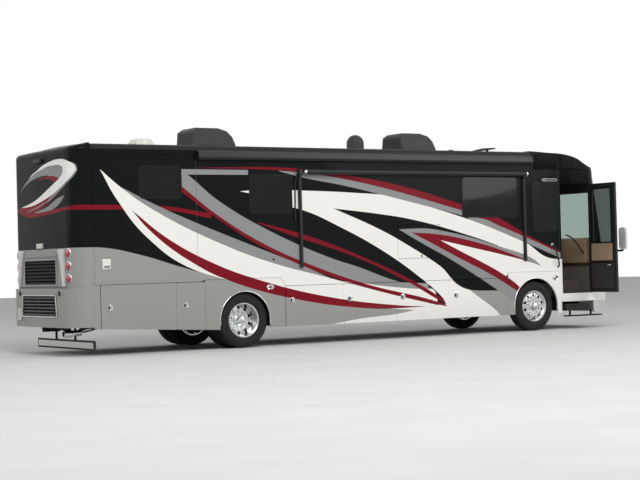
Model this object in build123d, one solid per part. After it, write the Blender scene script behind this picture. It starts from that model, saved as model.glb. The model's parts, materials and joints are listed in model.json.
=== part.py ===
from build123d import *
from math import cos, radians, sin
import os

# A rear-engined motor coach on its wheels. Millimetres, +X forward, +Y to the driver's side, +Z up.
# Sizes are laid out from the rear axle on the centre line at ground level (x = 0, y = 0, z = 0),
# and every piece is moved at the end so that the origin is below the middle of the whole outline.

# Body shell
HALF = 1275.0  # half the width over the side walls
WALL = 40.0  # side walls, roof and mouldings
ROOF_Z = 3490.0  # top of the roof's side edge
ROOF_EDGE_R = 90.0
ROOF_CROWN = 35.0
CAP_RISE = 20.0  # the end mouldings stand this much above the roof's side edge
REAR_ROOF_DROP = 85.0  # the rear moulding's roof falls this much to the rear face
WHEELBASE = 6550.0
REAR_OVERHANG = 3200.0  # rear axle to the rear face
REAR_CAP_L = 360.0
REAR_CORNER_R = 280.0
REAR_BOW = 30.0
FRONT_OVERHANG = 2040.0  # front axle to the front face
FRONT_CORNER_R = 350.0
FRONT_BOW = 40.0
JOINT_GAP = 0.3  # bonded and bolted joint lines
SEAM = 6.0  # the open gap round a door

# Floor and lower edges
FLOOR_TOP = 1220.0
FLOOR_T = 50.0
DECK_GAP = 0.8  # round the floor deck's edges
SKIRT_Z = 335.0
SKIRT_T = 30.0
TAIL_RISE_X = -500.0  # from here back the lower edge rises
TAIL_RISE = 0.05
LEDGE_DROP = 45.0  # the rear ledge below the floor's underside
BUMPER_Z = 480.0
BUMPER_OUT = 60.0
FRONT_BUMPER_Z = 300.0
FRONT_BUMPER_L = 530.0
NOSE_LOW_Z = 540.0  # lower edge of the front moulding
FOOT_OVER_ARCH = 30.0  # wall foot above the floor's underside, over the rear wheels
FOOT_AMIDSHIPS = 120.0  # and below it, between the wheels
FOOT_AT_FRONT = 20.0  # and below it, ahead of the luggage doors
MOULDING_OUT = 12.0
MOULDING_H = 34.0

# Wheels
TYRE_R = 480.0
TYRE_HALF_W = 136.0
SHOULDER_H = 50.0
SHOULDER_W = 40.0
SIDEWALL_H = 73.0
BEAD_R = 292.0
WHEEL_SIDES = 40  # round wheel parts are drawn with this many flats, to keep their meshes light
RIM_HALF_W = 118.0
FLANGE_H = 8.0
FLANGE_W = 18.0
RIM_T = 12.0
HAND_HOLES = 10
HAND_HOLE_R = 25.0
HUB_BORE_R = 46.0
HUB_CLEAR = 0.3
TRACK_INSET = 175.0  # front wheel's middle inside the wall's face
TWIN_INSET = 177.0  # outer rear wheel's middle inside the wall's face
TWIN_GAP = 74.0  # between the two rear tyres
KINGPIN_INSET = 200.0  # kingpin inside the front wheel's middle
KINGPIN_R = 19.0
REAR_ARCH_GAP = 20.0
FRONT_ARCH_GAP = 65.0

# Frame
RAIL_Y = 430.0
RAIL_W = 80.0
RAIL_T = 9.0
RAIL_H = 250.0
RAIL_END_SET = 180.0  # rail ends inside the rear face
RAIL_NOSE_SET = 340.0  # rail ends behind the front face
CROSS_HALF = 30.0
CROSS_INSET = 60.0  # cross members inside the rails' top and bottom

# Luggage bays
REAR_DOOR_LENGTHS = (1390.0, 550.0)  # from the rear
MID_DOOR_LENGTHS = (1225.0, 1155.0, 1225.0)  # ahead of the rear wheels; a fourth takes the rest
TAIL_PANEL_L = 120.0  # fixed panel between the rear moulding and the first door
REAR_ARCH_FRONT = 820.0
FRONT_ARCH_BACK = 680.0  # last door's front edge behind the front axle
BARREL_R = 4.0
LEAF_T = 2.0
HINGE_INSET = 20.0
BULKHEAD_T = 20.0
BULKHEAD_CLEAR = 10.0
BAY_FLOOR_T = 25.0
BAY_BACK_Y = 520.0

# Entry door, stored open at a right angle to the wall
ENTRY_SETBACK = 560.0  # doorway's front edge behind the front face
ENTRY_W = 780.0
ENTRY_LOW_Z = 700.0
ENTRY_HEAD_DROP = 290.0  # doorway's head below the brow line
ENTRY_T = 50.0
ENTRY_CLEAR = 8.0  # between the door's free edge and the doorway
ENTRY_RAIL = 120.0
ENTRY_GLASS_UP = 1000.0  # pane's lower edge above the door's
ENTRY_GLASS_R = 40.0
DOOR_SEAM_SET = 30.0  # front moulding's joint behind the doorway

# Front moulding
BROW_DROP = 330.0  # brow line below the roof's side edge
BROW_L = 660.0  # the brow reaches back this far from the door seam
COWL_Z = 1480.0
NOSE_Z = 1250.0
COWL_SET = 25.0
SHIELD_RAKE = 270.0
SHIELD_CORNER_R = 400.0
LEAN_CLEAR = 4.0  # the rounded corners run out into the sides at a small angle

# The brow's upper line from the front: how far behind the front face, how far below the roof's side edge
BROW_LINE = ((410.0, 295.0), (600.0, 255.0), (885.0, 110.0), (1235.0, 32.0), (1640.0, 8.0))
SHIELD_HEAD_DROP = 60.0
SHIELD_LOW_UP = 20.0
SHIELD_TOP_DROP = 100.0
SHIELD_WRAP = 430.0  # the windshield reaches back this far round the corners
SHIELD_SIDE = 60.0
GLASS_T = 8.0
PANE_GAP = 6.0
CAB_WINDOW_L = 750.0
CAB_WINDOW_H = 1200.0
GRILLE_HALF = 420.0
GRILLE_LOW_Z = 640.0
GRILLE_H = 170.0
HEADLAMP_LOW_Z = 850.0
HEADLAMP_H = 230.0
HEADLAMP_IN_Y = 760.0
HEADLAMP_T = 6.0

# Cab seats: middle y, middle behind the front face
DRIVER_Y = 640.0
DRIVER_SET = 1440.0
PASSENGER_Y = 560.0
PASSENGER_SET = 1740.0

# Outside television door
TV_BACK_X = 3270.0
TV_L = 990.0
TV_UP = 250.0  # opening's lower edge above the floor
TV_H = 620.0
TV_DEPTH = 160.0
TV_SHELL = 15.0

# Engine hatch, louvres and lamps in the rear face
LAMP_R = 72.0
LAMP_SET = 225.0  # lamp's middle inside the wall's face
LAMP_UPS = (162.0, 370.0, 575.0)  # above the ledge
HATCH_TO_LAMP = 98.0
HATCH_TAPER = 180.0
HATCH_UP = 25.0  # above the ledge
HATCH_H = 630.0
HATCH_T = 45.0
HATCH_OUT = 12.0
LOUVRE_RIM = 30.0
LOUVRE_T = 40.0
LOUVRE_OUT = 8.0  # the lower grille stands this far out of the bumper moulding
UPPER_LOUVRE_HALF = 650.0
UPPER_LOUVRE_UP = 45.0
UPPER_LOUVRE_H = 400.0
UPPER_BLADES = 7
LOWER_LOUVRE_HALF = 670.0
LOWER_LOUVRE_UP = 190.0  # above the bumper's lower edge
LOWER_LOUVRE_H = 330.0
LOWER_BLADES = 6

# Underneath
HITCH_TUBE = 63.5
HITCH_BORE = 51.5
HITCH_Z = 430.0
HITCH_BAR_HALF = 520.0
HITCH_PIN_R = 8.0
EXHAUST_R = 50.0
EXHAUST_T = 4.0
EXHAUST_Z = 385.0
EXHAUST_IN = 495.0  # outlet's middle inside the wall's face
ENGINE_SET = 240.0  # engine's back ahead of the rails' ends
ENGINE_L = 1280.0
ENGINE_CLEAR = 120.0  # from the engine to the cross member ahead of it
ENGINE_LOW_Z = 520.0
GUARD_LOW_Z = 95.0
GUARD_H = 160.0
GUARD_T = 20.0

# On the roof: middle x, length
AIR_UNITS = ((15.0, 830.0), (4515.0, 800.0))
AIR_UNIT_HALF = 350.0
AIR_UNIT_H = 400.0

# Roof vents: middle x, half width, height above the roof's side edge
VENTS = ((-1285.0, 170.0, 195.0), (5550.0, 60.0, 125.0))
DOME_X = 3257.0
DOME_R = 165.0
DOME_FOOT = 200.0
AERIAL_X = 6470.0
AERIAL_L = 620.0

# Awnings, curb side
CASE_BACK_X = -880.0
CASE_DROP = 90.0  # case's top below the roof's side edge
CASE_H = 165.0
CASE_OUT = 95.0
ROLLER_R = 48.0
ROLLER_DROP = 440.0
ROLLER_BACK_X = 1240.0
ARM_W = 70.0
ARM_OUT = 45.0
ARM_FOOT_UP = 140.0  # above the floor

# Mirrors
MIRROR_AHEAD = 10.0  # head's back ahead of the front face
MIRROR_IN = 225.0  # outside the wall's face
MIRROR_W = 190.0
MIRROR_LOW_Z = 1540.0
MIRROR_H = 450.0
MIRROR_T = 90.0

# Places that follow from the sizes above
REAR_X = -REAR_OVERHANG
FRONT_X = WHEELBASE + FRONT_OVERHANG
CAP_SEAM_X = REAR_X + REAR_CAP_L
ENTRY_FRONT_X = FRONT_X - ENTRY_SETBACK
ENTRY_BACK_X = ENTRY_FRONT_X - ENTRY_W
DOOR_SEAM_X = ENTRY_BACK_X - DOOR_SEAM_SET
BROW_START_X = DOOR_SEAM_X - BROW_L
BROW_Z = ROOF_Z - BROW_DROP
ENTRY_TOP_Z = BROW_Z - ENTRY_HEAD_DROP
ENTRY_HINGE_X = ENTRY_FRONT_X - SEAM
RAIL_TOP = FLOOR_TOP - FLOOR_T
RAIL_LOW = RAIL_TOP - RAIL_H
RAIL_BACK_X = REAR_X + RAIL_END_SET
LEDGE_Z = RAIL_TOP - LEDGE_DROP
AXLE_Z = TYRE_R
FRONT_TRACK_Y = HALF - TRACK_INSET
KINGPIN_Y = FRONT_TRACK_Y - KINGPIN_INSET
TWIN_OUTER_Y = HALF - TWIN_INSET
TWIN_INNER_Y = TWIN_OUTER_Y - 2 * TYRE_HALF_W - TWIN_GAP
BULKHEAD_Y = HALF - SKIRT_T - BULKHEAD_CLEAR
TV_FRONT_X = TV_BACK_X + TV_L
TV_LOW_Z = FLOOR_TOP + TV_UP
TV_TOP_Z = TV_LOW_Z + TV_H
LAMP_Y = HALF - LAMP_SET
HATCH_LOW_HALF = LAMP_Y - LAMP_R - HATCH_TO_LAMP
HATCH_TOP_HALF = HATCH_LOW_HALF - HATCH_TAPER
HATCH_LOW_Z = LEDGE_Z + HATCH_UP
EXHAUST_OUT_Y = HALF - EXHAUST_IN
ENGINE_X = RAIL_BACK_X + ENGINE_SET
HATCH_TOP_Z = HATCH_LOW_Z + HATCH_H
HATCH_X = REAR_X - HATCH_OUT
MIRROR_X = FRONT_X + MIRROR_AHEAD
MIRROR_IN_Y = HALF + MIRROR_IN
MIRROR_OUT_Y = MIRROR_IN_Y + MIRROR_W

# The whole outline, for the origin
REAR_TIP_X = REAR_X - BUMPER_OUT - LOUVRE_OUT
FRONT_TIP_X = MIRROR_X + MIRROR_T
DOOR_TIP_Y = -(HALF + ENTRY_W - SEAM - ENTRY_CLEAR)
ORIGIN = Vector((REAR_TIP_X + FRONT_TIP_X) / 2, (DOOR_TIP_Y + MIRROR_OUT_Y) / 2, 0)

# Windows in the side walls: back edge x, length, head below the roof's side edge, height
RIGHT_WINDOWS = (
    (CAP_SEAM_X + 870, 780.0, 370.0, 530.0),
    (150.0, 850.0, 500.0, 660.0),
    (DOOR_SEAM_X - 2420, 1360.0, 500.0, 760.0),
    (DOOR_SEAM_X - 680, 620.0, 590.0, 960.0),
)
LEFT_WINDOWS = (
    (CAP_SEAM_X + 870, 780.0, 370.0, 530.0),
    (300.0, 1200.0, 500.0, 740.0),
    (3300.0, 1600.0, 500.0, 840.0),
    (DOOR_SEAM_X - 1070, 950.0, 500.0, 1050.0),
)
WINDOW_R = 70.0


def box(x0, x1, y0, y1, z0, z1):
    """A block between two corners, given in any order."""
    corner = Pos(min(x0, x1), min(y0, y1), min(z0, z1))
    low = (Align.MIN, Align.MIN, Align.MIN)
    return corner * Box(abs(x1 - x0), abs(y1 - y0), abs(z1 - z0), align=low)


def rod_x(x0, x1, y, z, r):
    """A round bar along X."""
    return Pos((x0 + x1) / 2, y, z) * Rot(0, 90, 0) * Cylinder(r, abs(x1 - x0))


def rod_y(x, y0, y1, z, r):
    """A round bar along Y."""
    return Pos(x, (y0 + y1) / 2, z) * Rot(90, 0, 0) * Cylinder(r, abs(y1 - y0))


def rod_z(x, y, z0, z1, r):
    """A round bar along Z."""
    return Pos(x, y, (z0 + z1) / 2) * Cylinder(r, abs(z1 - z0))


def slab_xz(points, y0, y1):
    """A flat plate from an outline of (x, z) points, between two y planes."""
    face = make_face(Polyline([(x, y0, z) for x, z in points], close=True))
    return extrude(face, amount=abs(y1 - y0), dir=(0, 1 if y1 > y0 else -1, 0))


def slab_yz(points, x0, x1):
    """A flat plate from an outline of (y, z) points, between two x planes."""
    face = make_face(Polyline([(x0, y, z) for y, z in points], close=True))
    return extrude(face, amount=abs(x1 - x0), dir=(1 if x1 > x0 else -1, 0, 0))


def round_window(x0, x1, z0, z1, y0, y1, r):
    """A rounded rectangle in a side wall, between two y planes."""
    block = box(x0, x1, y0, y1, z0, z1)
    return fillet(block.edges().filter_by(Axis.Y), r)


def mirrored(shape):
    """The same piece on the driver's side."""
    return mirror(shape, about=Plane.XZ)


def both(shape):
    """A piece and its mirror image as one node."""
    return Compound(children=[shape, mirrored(shape)])


def save(node, shape):
    """Write one piece as its own file, moved to the object's origin."""
    export_step(Pos(-ORIGIN.X, -ORIGIN.Y, 0) * shape, f"parts/{node}.step")


def skirt_low(x):
    """Height of the body's lower edge, which rises behind the rear wheels."""
    return SKIRT_Z + max(0.0, TAIL_RISE_X - x) * TAIL_RISE


def side_slab(points, t):
    """A curb-side plate of thickness t whose outer face is the body side."""
    return slab_xz(points, -HALF, -HALF + t)


def bay_seams():
    """Each luggage door's rear and front seam x and its top z, from the rear."""
    rows = []
    x = CAP_SEAM_X + TAIL_PANEL_L
    for length in REAR_DOOR_LENGTHS:
        rows.append((x, x + length, RAIL_TOP))
        x += length
    x = REAR_ARCH_FRONT
    top = RAIL_TOP - FOOT_AMIDSHIPS
    for length in MID_DOOR_LENGTHS:
        rows.append((x, x + length, top))
        x += length
    rows.append((x, WHEELBASE - FRONT_ARCH_BACK, top))
    return rows


def wall_foot():
    """The lower edge of the side walls, from rear to front, as (x, z)."""
    seams = bay_seams()
    arch_back, arch_front, last = seams[1][1], REAR_ARCH_FRONT, seams[-1][1]
    over, mid, front = RAIL_TOP + FOOT_OVER_ARCH, RAIL_TOP - FOOT_AMIDSHIPS, RAIL_TOP - FOOT_AT_FRONT
    slope = 80.0
    return [
        (CAP_SEAM_X, RAIL_TOP),
        (arch_back - slope, RAIL_TOP),
        (arch_back, over),
        (arch_front - slope, over),
        (arch_front, mid),
        (last - slope, mid),
        (last, front),
        (DOOR_SEAM_X, front),
    ]


def moulding():
    """The raised belt strip along the foot of a side wall."""
    foot = wall_foot()
    top = [(x, z + MOULDING_H) for x, z in reversed(foot)]
    return slab_xz(foot + top, -HALF - MOULDING_OUT, -HALF)


def window_boxes(windows, grow):
    """The low and high corners of a wall's windows, grown by a gap."""
    rows = []
    for x, length, drop, height in windows:
        top = ROOF_Z - drop
        rows.append((x - grow, x + length + grow, top - height - grow, top + grow))
    return rows


def side_wall(windows):
    """One side wall from its foot to the roof joint, with its windows cut."""
    top = ROOF_Z - ROOF_EDGE_R
    head = [(DOOR_SEAM_X, BROW_Z), (BROW_START_X, BROW_Z), (BROW_START_X, top), (CAP_SEAM_X, top)]
    wall = side_slab(wall_foot() + head, WALL) + moulding()
    for x0, x1, z0, z1 in window_boxes(windows, 0):
        wall -= round_window(x0, x1, z0, z1, -HALF - 1, -HALF + WALL + 1, WINDOW_R)
    return wall


def window_panes(windows):
    """Flush panes that fill the windows of one side wall."""
    panes = []
    for x0, x1, z0, z1 in window_boxes(windows, -JOINT_GAP):
        panes.append(round_window(x0, x1, z0, z1, -HALF, -HALF + GLASS_T, WINDOW_R - JOINT_GAP))
    return panes


def right_wall():
    """The curb-side wall with the television opening."""
    opening = box(TV_BACK_X, TV_FRONT_X, -HALF - 1, -HALF + WALL + 1, TV_LOW_Z, TV_TOP_Z + SEAM)
    return side_wall(RIGHT_WINDOWS) - opening


def roof_section(inset):
    """The roof's cross section above the side walls: rounded edges and a low crown."""
    half, edge_r = HALF - inset, ROOF_EDGE_R - inset
    low, top = ROOF_Z - ROOF_EDGE_R, ROOF_Z - inset
    corner = sin(radians(45))
    turn = (-half + edge_r * (1 - corner), low + edge_r * corner)
    left = [(-half, low), turn, (-half + edge_r, top)]
    right = [(-y, z) for y, z in reversed(left)]
    x = CAP_SEAM_X
    crown = (x, 0, top + ROOF_CROWN)
    lines = [
        ThreePointArc(*[(x, y, z) for y, z in left]),
        ThreePointArc((x, -half + edge_r, top), crown, (x, half - edge_r, top)),
        ThreePointArc(*[(x, y, z) for y, z in right]),
        Line((x, half, low), (x, -half, low)),
    ]
    return make_face(lines)


def roof():
    """The roof skin between the two moulded caps."""
    length = BROW_START_X - CAP_SEAM_X
    outer = extrude(roof_section(0), amount=length, dir=(1, 0, 0))
    inner = extrude(roof_section(WALL), amount=length, dir=(1, 0, 0))
    return outer - inner


def roof_bed():
    """What the roof fittings are cut to, a joint's gap above the roof skin."""
    length = BROW_START_X - CAP_SEAM_X
    return extrude(roof_section(-JOINT_GAP), amount=length, dir=(1, 0, 0))


def plan_solid(x_face, x_open, half, r, bow, z0, z1):
    """A block whose end at x_face is bowed in plan, with rounded corners."""
    sign = 1 if x_face > x_open else -1
    corner_x = x_face - sign * bow
    lines = [
        Line((x_open, -half, z0), (corner_x, -half, z0)),
        ThreePointArc((corner_x, -half, z0), (x_face, 0, z0), (corner_x, half, z0)),
        Line((corner_x, half, z0), (x_open, half, z0)),
        Line((x_open, half, z0), (x_open, -half, z0)),
    ]
    block = extrude(make_face(lines), amount=z1 - z0, dir=(0, 0, 1))
    ends = [e for e in block.edges().filter_by(Axis.Z) if abs(e.center().X - corner_x) < 1]
    return fillet(ends, r)


def rear_plan(x, inset, z0, z1):
    """The rear end's plan form between two heights."""
    return plan_solid(x, CAP_SEAM_X, HALF - inset, REAR_CORNER_R - inset, REAR_BOW, z0, z1)


def front_plan(inset, x_open, z0, z1):
    """The front end's plan form between two heights."""
    half, r = HALF - inset, FRONT_CORNER_R - inset
    return plan_solid(FRONT_X - inset, x_open, half, r, FRONT_BOW, z0, z1)


def rear_form(inset):
    """The rear moulding's outer form, or its hollow where inset is a wall."""
    top = ROOF_Z + CAP_RISE - inset
    block = rear_plan(REAR_X + inset, inset, LEDGE_Z, top)
    back = REAR_X - WALL
    fall = REAR_ROOF_DROP * (CAP_SEAM_X - back) / REAR_CAP_L
    block -= slab_xz([(back, top - fall), (CAP_SEAM_X, top), (back, top + 1)], -HALF - 1, HALF + 1)
    slope = block.faces().sort_by(Axis.Z)[-1]
    rim = [e for e in slope.edges() if e.center().X < CAP_SEAM_X - 1]
    return fillet(rim, ROOF_EDGE_R - inset)


def lamp_places():
    """The y and z of each tail lamp."""
    return [(y, LEDGE_Z + up) for y in (-LAMP_Y, LAMP_Y) for up in LAMP_UPS]


def hatch_outline(grow):
    """The hatch's outline as (y, z), wider at its foot, grown or shrunk all round."""
    low, high = HATCH_LOW_HALF + grow, HATCH_TOP_HALF + grow
    z0, z1 = HATCH_LOW_Z - grow, HATCH_TOP_Z + grow
    return [(-low, z0), (low, z0), (high, z1), (-high, z1)]


def rear_cap():
    """The rear moulding: a hollow cap, open to the front, with lamp holes and the hatch opening."""
    cap = rear_form(0) - rear_form(WALL)
    for y, z in lamp_places():
        cap -= rod_x(REAR_X - WALL, REAR_X + REAR_CORNER_R / 2, y, z, LAMP_R + JOINT_GAP)
    cap -= slab_yz(hatch_outline(0), REAR_X - WALL, REAR_X + 2 * WALL)
    return cap + hatch_leaf()


def hatch_leaf():
    """The fixed half of the hatch's hinge, under the rear moulding's lip."""
    half = HATCH_TOP_HALF - 2 * HINGE_INSET
    low, high = HATCH_TOP_Z - LEAF_T / 2, HATCH_TOP_Z + LEAF_T / 2
    return box(HATCH_X + BARREL_R + JOINT_GAP, REAR_X + WALL, -half, half, low, high)


def rear_bumper():
    """The lower rear moulding that stands out below the ledge."""
    x = REAR_X - BUMPER_OUT
    outer = plan_solid(x, CAP_SEAM_X, HALF, REAR_CORNER_R, REAR_BOW, BUMPER_Z, LEDGE_Z)
    inner = rear_plan(x + WALL, WALL, BUMPER_Z, LEDGE_Z - WALL)
    neck = rear_plan(REAR_X + WALL, WALL, LEDGE_Z - WALL - 1, LEDGE_Z + 1)
    half = LOWER_LOUVRE_HALF + LOUVRE_RIM + JOINT_GAP
    low = BUMPER_Z + LOWER_LOUVRE_UP - LOUVRE_RIM - JOINT_GAP
    high = BUMPER_Z + LOWER_LOUVRE_UP + LOWER_LOUVRE_H + LOUVRE_RIM + JOINT_GAP
    return outer - inner - neck - box(x - 1, x + 2 * WALL, -half, half, low, high)


def blade_section(x, z, pitch):
    """One grille blade as (x, z): a sloping plate with an upright lip along its outer edge."""
    edge, lip, back = x + 4, x + 8, x + LOUVRE_T - 4
    return [
        (edge, z - 0.40 * pitch),
        (lip, z - 0.40 * pitch),
        (lip, z - 0.22 * pitch),
        (back, z + 0.30 * pitch),
        (back, z + 0.42 * pitch),
        (edge, z - 0.10 * pitch),
    ]


def louvre(x, half, low, height, blades):
    """A framed grille of sloping blades that faces backwards."""
    rim, high = LOUVRE_RIM, low + height
    frame = box(x, x + LOUVRE_T, -half - rim, half + rim, low - rim, high + rim)
    frame -= box(x - 1, x + LOUVRE_T + 1, -half, half, low, high)
    pitch = height / blades
    for i in range(blades):
        frame += slab_xz(blade_section(x, low + pitch * (i + 0.5), pitch), -half, half)
    for y in (-half / 3, half / 3):
        frame += box(x + LOUVRE_T - 10, x + LOUVRE_T - 2, y - 8, y + 8, low, high)
    return frame


def rear_louvre():
    """The lower grille, in the rear bumper moulding."""
    x = REAR_X - BUMPER_OUT - LOUVRE_OUT
    low = BUMPER_Z + LOWER_LOUVRE_UP
    return louvre(x, LOWER_LOUVRE_HALF, low, LOWER_LOUVRE_H, LOWER_BLADES)


def engine_hatch():
    """The lift-up engine hatch: a panel with side ribs, its own grille and a hinge barrel on top."""
    x = HATCH_X
    panel = slab_yz(hatch_outline(-SEAM), x, x + HATCH_T)
    low = HATCH_LOW_Z + UPPER_LOUVRE_UP
    half, rim = UPPER_LOUVRE_HALF, LOUVRE_RIM
    high = low + UPPER_LOUVRE_H
    panel -= box(x - 1, x + HATCH_T + 1, -half - rim, half + rim, low - rim, high + rim)
    panel += louvre(x - 18, half, low, UPPER_LOUVRE_H, UPPER_BLADES)
    rib_w, rib_out = 26.0, 10.0
    foot, head = hatch_outline(-SEAM)[1:3]
    rib = [(foot[0] - rib_w, foot[1]), foot, head, (head[0] - rib_w, head[1])]
    for side in (rib, [(-y, z) for y, z in rib]):
        panel += slab_yz(side, x - rib_out, x + 1)
    barrel_half = HATCH_TOP_HALF - 2 * HINGE_INSET
    panel += box(x, x + LEAF_T, -barrel_half, barrel_half, HATCH_TOP_Z - SEAM - 1, HATCH_TOP_Z)
    return panel + rod_y(x, -barrel_half, barrel_half, HATCH_TOP_Z, BARREL_R)


def front_profile(inset):
    """Side outline of the front moulding, from the door seam forward, as (x, z)."""
    face, i = FRONT_X - inset, inset
    head_x, head_z = face - SHIELD_RAKE, BROW_Z - SHIELD_HEAD_DROP
    visor_x = head_x + 35
    return [
        (DOOR_SEAM_X, NOSE_LOW_Z),
        (face, NOSE_LOW_Z),
        (face, NOSE_Z),
        (face - COWL_SET, COWL_Z),
        (head_x, head_z),
        (visor_x, BROW_Z - 30),
        (visor_x - 5, BROW_Z + 10 - i),
        *[(FRONT_X - back, ROOF_Z - drop - i) for back, drop in BROW_LINE],
        (BROW_START_X, ROOF_Z + CAP_RISE - i),
        (BROW_START_X, BROW_Z),
        (DOOR_SEAM_X, BROW_Z),
    ]


def front_lean(inset):
    """A leaning block with rounded corners, which gives the windshield's corners their shape."""
    half, r, z0 = HALF - inset + LEAN_CLEAR, SHIELD_CORNER_R - inset, NOSE_LOW_Z - 1
    top = ROOF_Z + 2 * CAP_RISE
    lean = (SHIELD_RAKE - COWL_SET) / (BROW_Z - SHIELD_HEAD_DROP - COWL_Z)
    x = FRONT_X - COWL_SET - inset + LEAN_CLEAR + lean * (COWL_Z - z0)
    turn = r * (1 - sin(radians(45)))
    x_open, drop = BROW_START_X - 1, x - r
    lines = [
        Line((x_open, -half, z0), (drop, -half, z0)),
        ThreePointArc((drop, -half, z0), (x - turn, -half + turn, z0), (x, -half + r, z0)),
        Line((x, -half + r, z0), (x, half - r, z0)),
        ThreePointArc((x, half - r, z0), (x - turn, half - turn, z0), (drop, half, z0)),
        Line((drop, half, z0), (x_open, half, z0)),
        Line((x_open, half, z0), (x_open, -half, z0)),
    ]
    up = top - z0
    return Solid.extrude(make_face(lines).face(), Vector(-lean * up, 0, up))


def front_form(inset):
    """The front moulding's outer form, or its hollow where inset is a wall."""
    side = slab_xz(front_profile(inset), -HALF, HALF)
    top = ROOF_Z + CAP_RISE
    plan = front_plan(inset, BROW_START_X, NOSE_LOW_Z, top)
    half, head = HALF - inset, top - inset
    edges = box(BROW_START_X, FRONT_X, -half, half, NOSE_LOW_Z, head)
    long_edges = [e for e in edges.edges().filter_by(Axis.X) if e.center().Z > head - 1]
    return side & plan & fillet(long_edges, ROOF_EDGE_R - inset) & front_lean(inset)


def shield_zone(grow):
    """The block that marks out the windshield on the front moulding."""
    y = HALF - SHIELD_SIDE + grow
    low, high = COWL_Z + SHIELD_LOW_UP - grow, BROW_Z - SHIELD_TOP_DROP + grow
    block = box(FRONT_X - SHIELD_WRAP - grow, FRONT_X + WALL, -y, y, low, high)
    return fillet(block.edges().filter_by(Axis.X), SHIELD_SIDE)


def cab_window(grow):
    """The driver's window, cut in the left side of the front moulding."""
    x0, top = ENTRY_BACK_X + 80, BROW_Z - 200
    x1, low = x0 + CAB_WINDOW_L + grow, top - CAB_WINDOW_H - grow
    block = box(x0 - grow, x1, HALF - WALL - 1, HALF + 1, low, top + grow)
    return fillet(block.edges().filter_by(Axis.Y), SHIELD_SIDE)


def front_cap():
    """The hollow front moulding with the windshield, entry, driver's window and grille openings."""
    cap = front_form(0) - front_form(WALL) - shield_zone(JOINT_GAP) - cab_window(JOINT_GAP)
    cap -= box(ENTRY_BACK_X, ENTRY_FRONT_X, -HALF - 1, -HALF + WALL + 1, ENTRY_LOW_Z, ENTRY_TOP_Z)
    rim = LOUVRE_RIM + JOINT_GAP
    half, low, high = GRILLE_HALF + rim, GRILLE_LOW_Z - rim, GRILLE_LOW_Z + GRILLE_H + rim
    cap -= box(FRONT_X - 3 * WALL, FRONT_X + 1, -half, half, low, high)
    inner_y = -HALF + WALL
    hinge_y = -HALF + BARREL_R + JOINT_GAP
    low, high = ENTRY_LOW_Z + 60, ENTRY_TOP_Z - 60
    leaf = box(ENTRY_HINGE_X - 1, ENTRY_HINGE_X + 1, hinge_y, inner_y, low, high)
    lip = box(ENTRY_HINGE_X - 1, ENTRY_FRONT_X, inner_y - 3, inner_y, ENTRY_LOW_Z, ENTRY_TOP_Z)
    return cap + leaf + lip


def front_grille():
    """The small grille in the front moulding, which lets air to the heater."""
    grille = louvre(-FRONT_X, GRILLE_HALF, GRILLE_LOW_Z, GRILLE_H, 4)
    return mirror(grille, about=Plane.YZ)


def windshield():
    """The two bowed front panes, split by a centre gap, and the driver's side pane."""
    skin = front_form(0) - front_form(GLASS_T)
    gap = box(FRONT_X - 2 * SHIELD_WRAP, FRONT_X + WALL, -PANE_GAP, PANE_GAP, COWL_Z, BROW_Z)
    panes = skin & shield_zone(0)
    panes -= gap
    side = skin & cab_window(0)
    return Compound(children=list(panes.solids()) + list(side.solids()))


def front_bumper():
    """The front bumper moulding, which wraps to the entry sill and the driver's side."""
    x_open = FRONT_X - FRONT_BUMPER_L
    outer = front_plan(0, x_open, FRONT_BUMPER_Z, NOSE_LOW_Z)
    return outer - front_plan(WALL, x_open, FRONT_BUMPER_Z - 1, NOSE_LOW_Z + 1)


def entry_door():
    """The entry door, open at a right angle, its outer face to the front."""
    x = ENTRY_HINGE_X
    low, top = ENTRY_LOW_Z + SEAM, ENTRY_TOP_Z - SEAM
    y_in, y_out = -HALF - SEAM, DOOR_TIP_Y
    panel = box(x - ENTRY_T, x, y_out, y_in, low, top) - entry_pane(x - ENTRY_T - 1, x + 1, 0)
    recess = box(x - 12, x + 1, y_out + 60, y_in - 60, low + 60, low + ENTRY_GLASS_UP - 560)
    web = box(x - 3, x, y_in, -HALF, low + 60, top - 60)
    return panel - recess + web + rod_z(x, -HALF, low + 60, top - 60, BARREL_R)


def entry_pane(x0, x1, gap):
    """The entry door's window opening between two x planes, or its pane."""
    y_out, y_in = DOOR_TIP_Y + ENTRY_RAIL + gap, -HALF - SEAM - ENTRY_RAIL - gap
    low, top = ENTRY_LOW_Z + ENTRY_GLASS_UP + gap, ENTRY_TOP_Z - ENTRY_RAIL - gap
    block = box(x0, x1, y_out, y_in, low, top)
    return fillet(block.edges().filter_by(Axis.X), ENTRY_GLASS_R - gap)


def entry_glass():
    """The pane of the entry door."""
    return entry_pane(ENTRY_HINGE_X - 30, ENTRY_HINGE_X - 30 + GLASS_T, JOINT_GAP)


def bay_door(x0, x1, top):
    """A curb-side luggage door, hinged on its front edge with an outside barrel."""
    rear, front, high = x0 + SEAM, x1 - SEAM, top - SEAM
    low0, low1 = skirt_low(rear), skirt_low(front)
    panel = side_slab([(rear, low0), (front, low1), (front, high), (rear, high)], SKIRT_T)
    low, head = low1 + HINGE_INSET, high - HINGE_INSET
    web = box(front, x1, -HALF - 1.5, -HALF + 1.5, low, head)
    return panel + web + rod_z(x1, -HALF, low, head, BARREL_R)


def bulkhead(x, leaf_top):
    """A plate between luggage bays; its outer edge may carry the next door's hinge leaf."""
    half = BULKHEAD_T / 2
    low = skirt_low(x - half) + BAY_FLOOR_T
    plate = box(x - half, x + half, -BULKHEAD_Y, -BAY_BACK_Y, low, RAIL_TOP)
    if leaf_top:
        edge = -HALF + BARREL_R + JOINT_GAP
        top = leaf_top - 2 * HINGE_INSET
        plate += box(x - LEAF_T / 2, x + LEAF_T / 2, edge, -BULKHEAD_Y, low + HINGE_INSET, top)
    return plate


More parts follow.
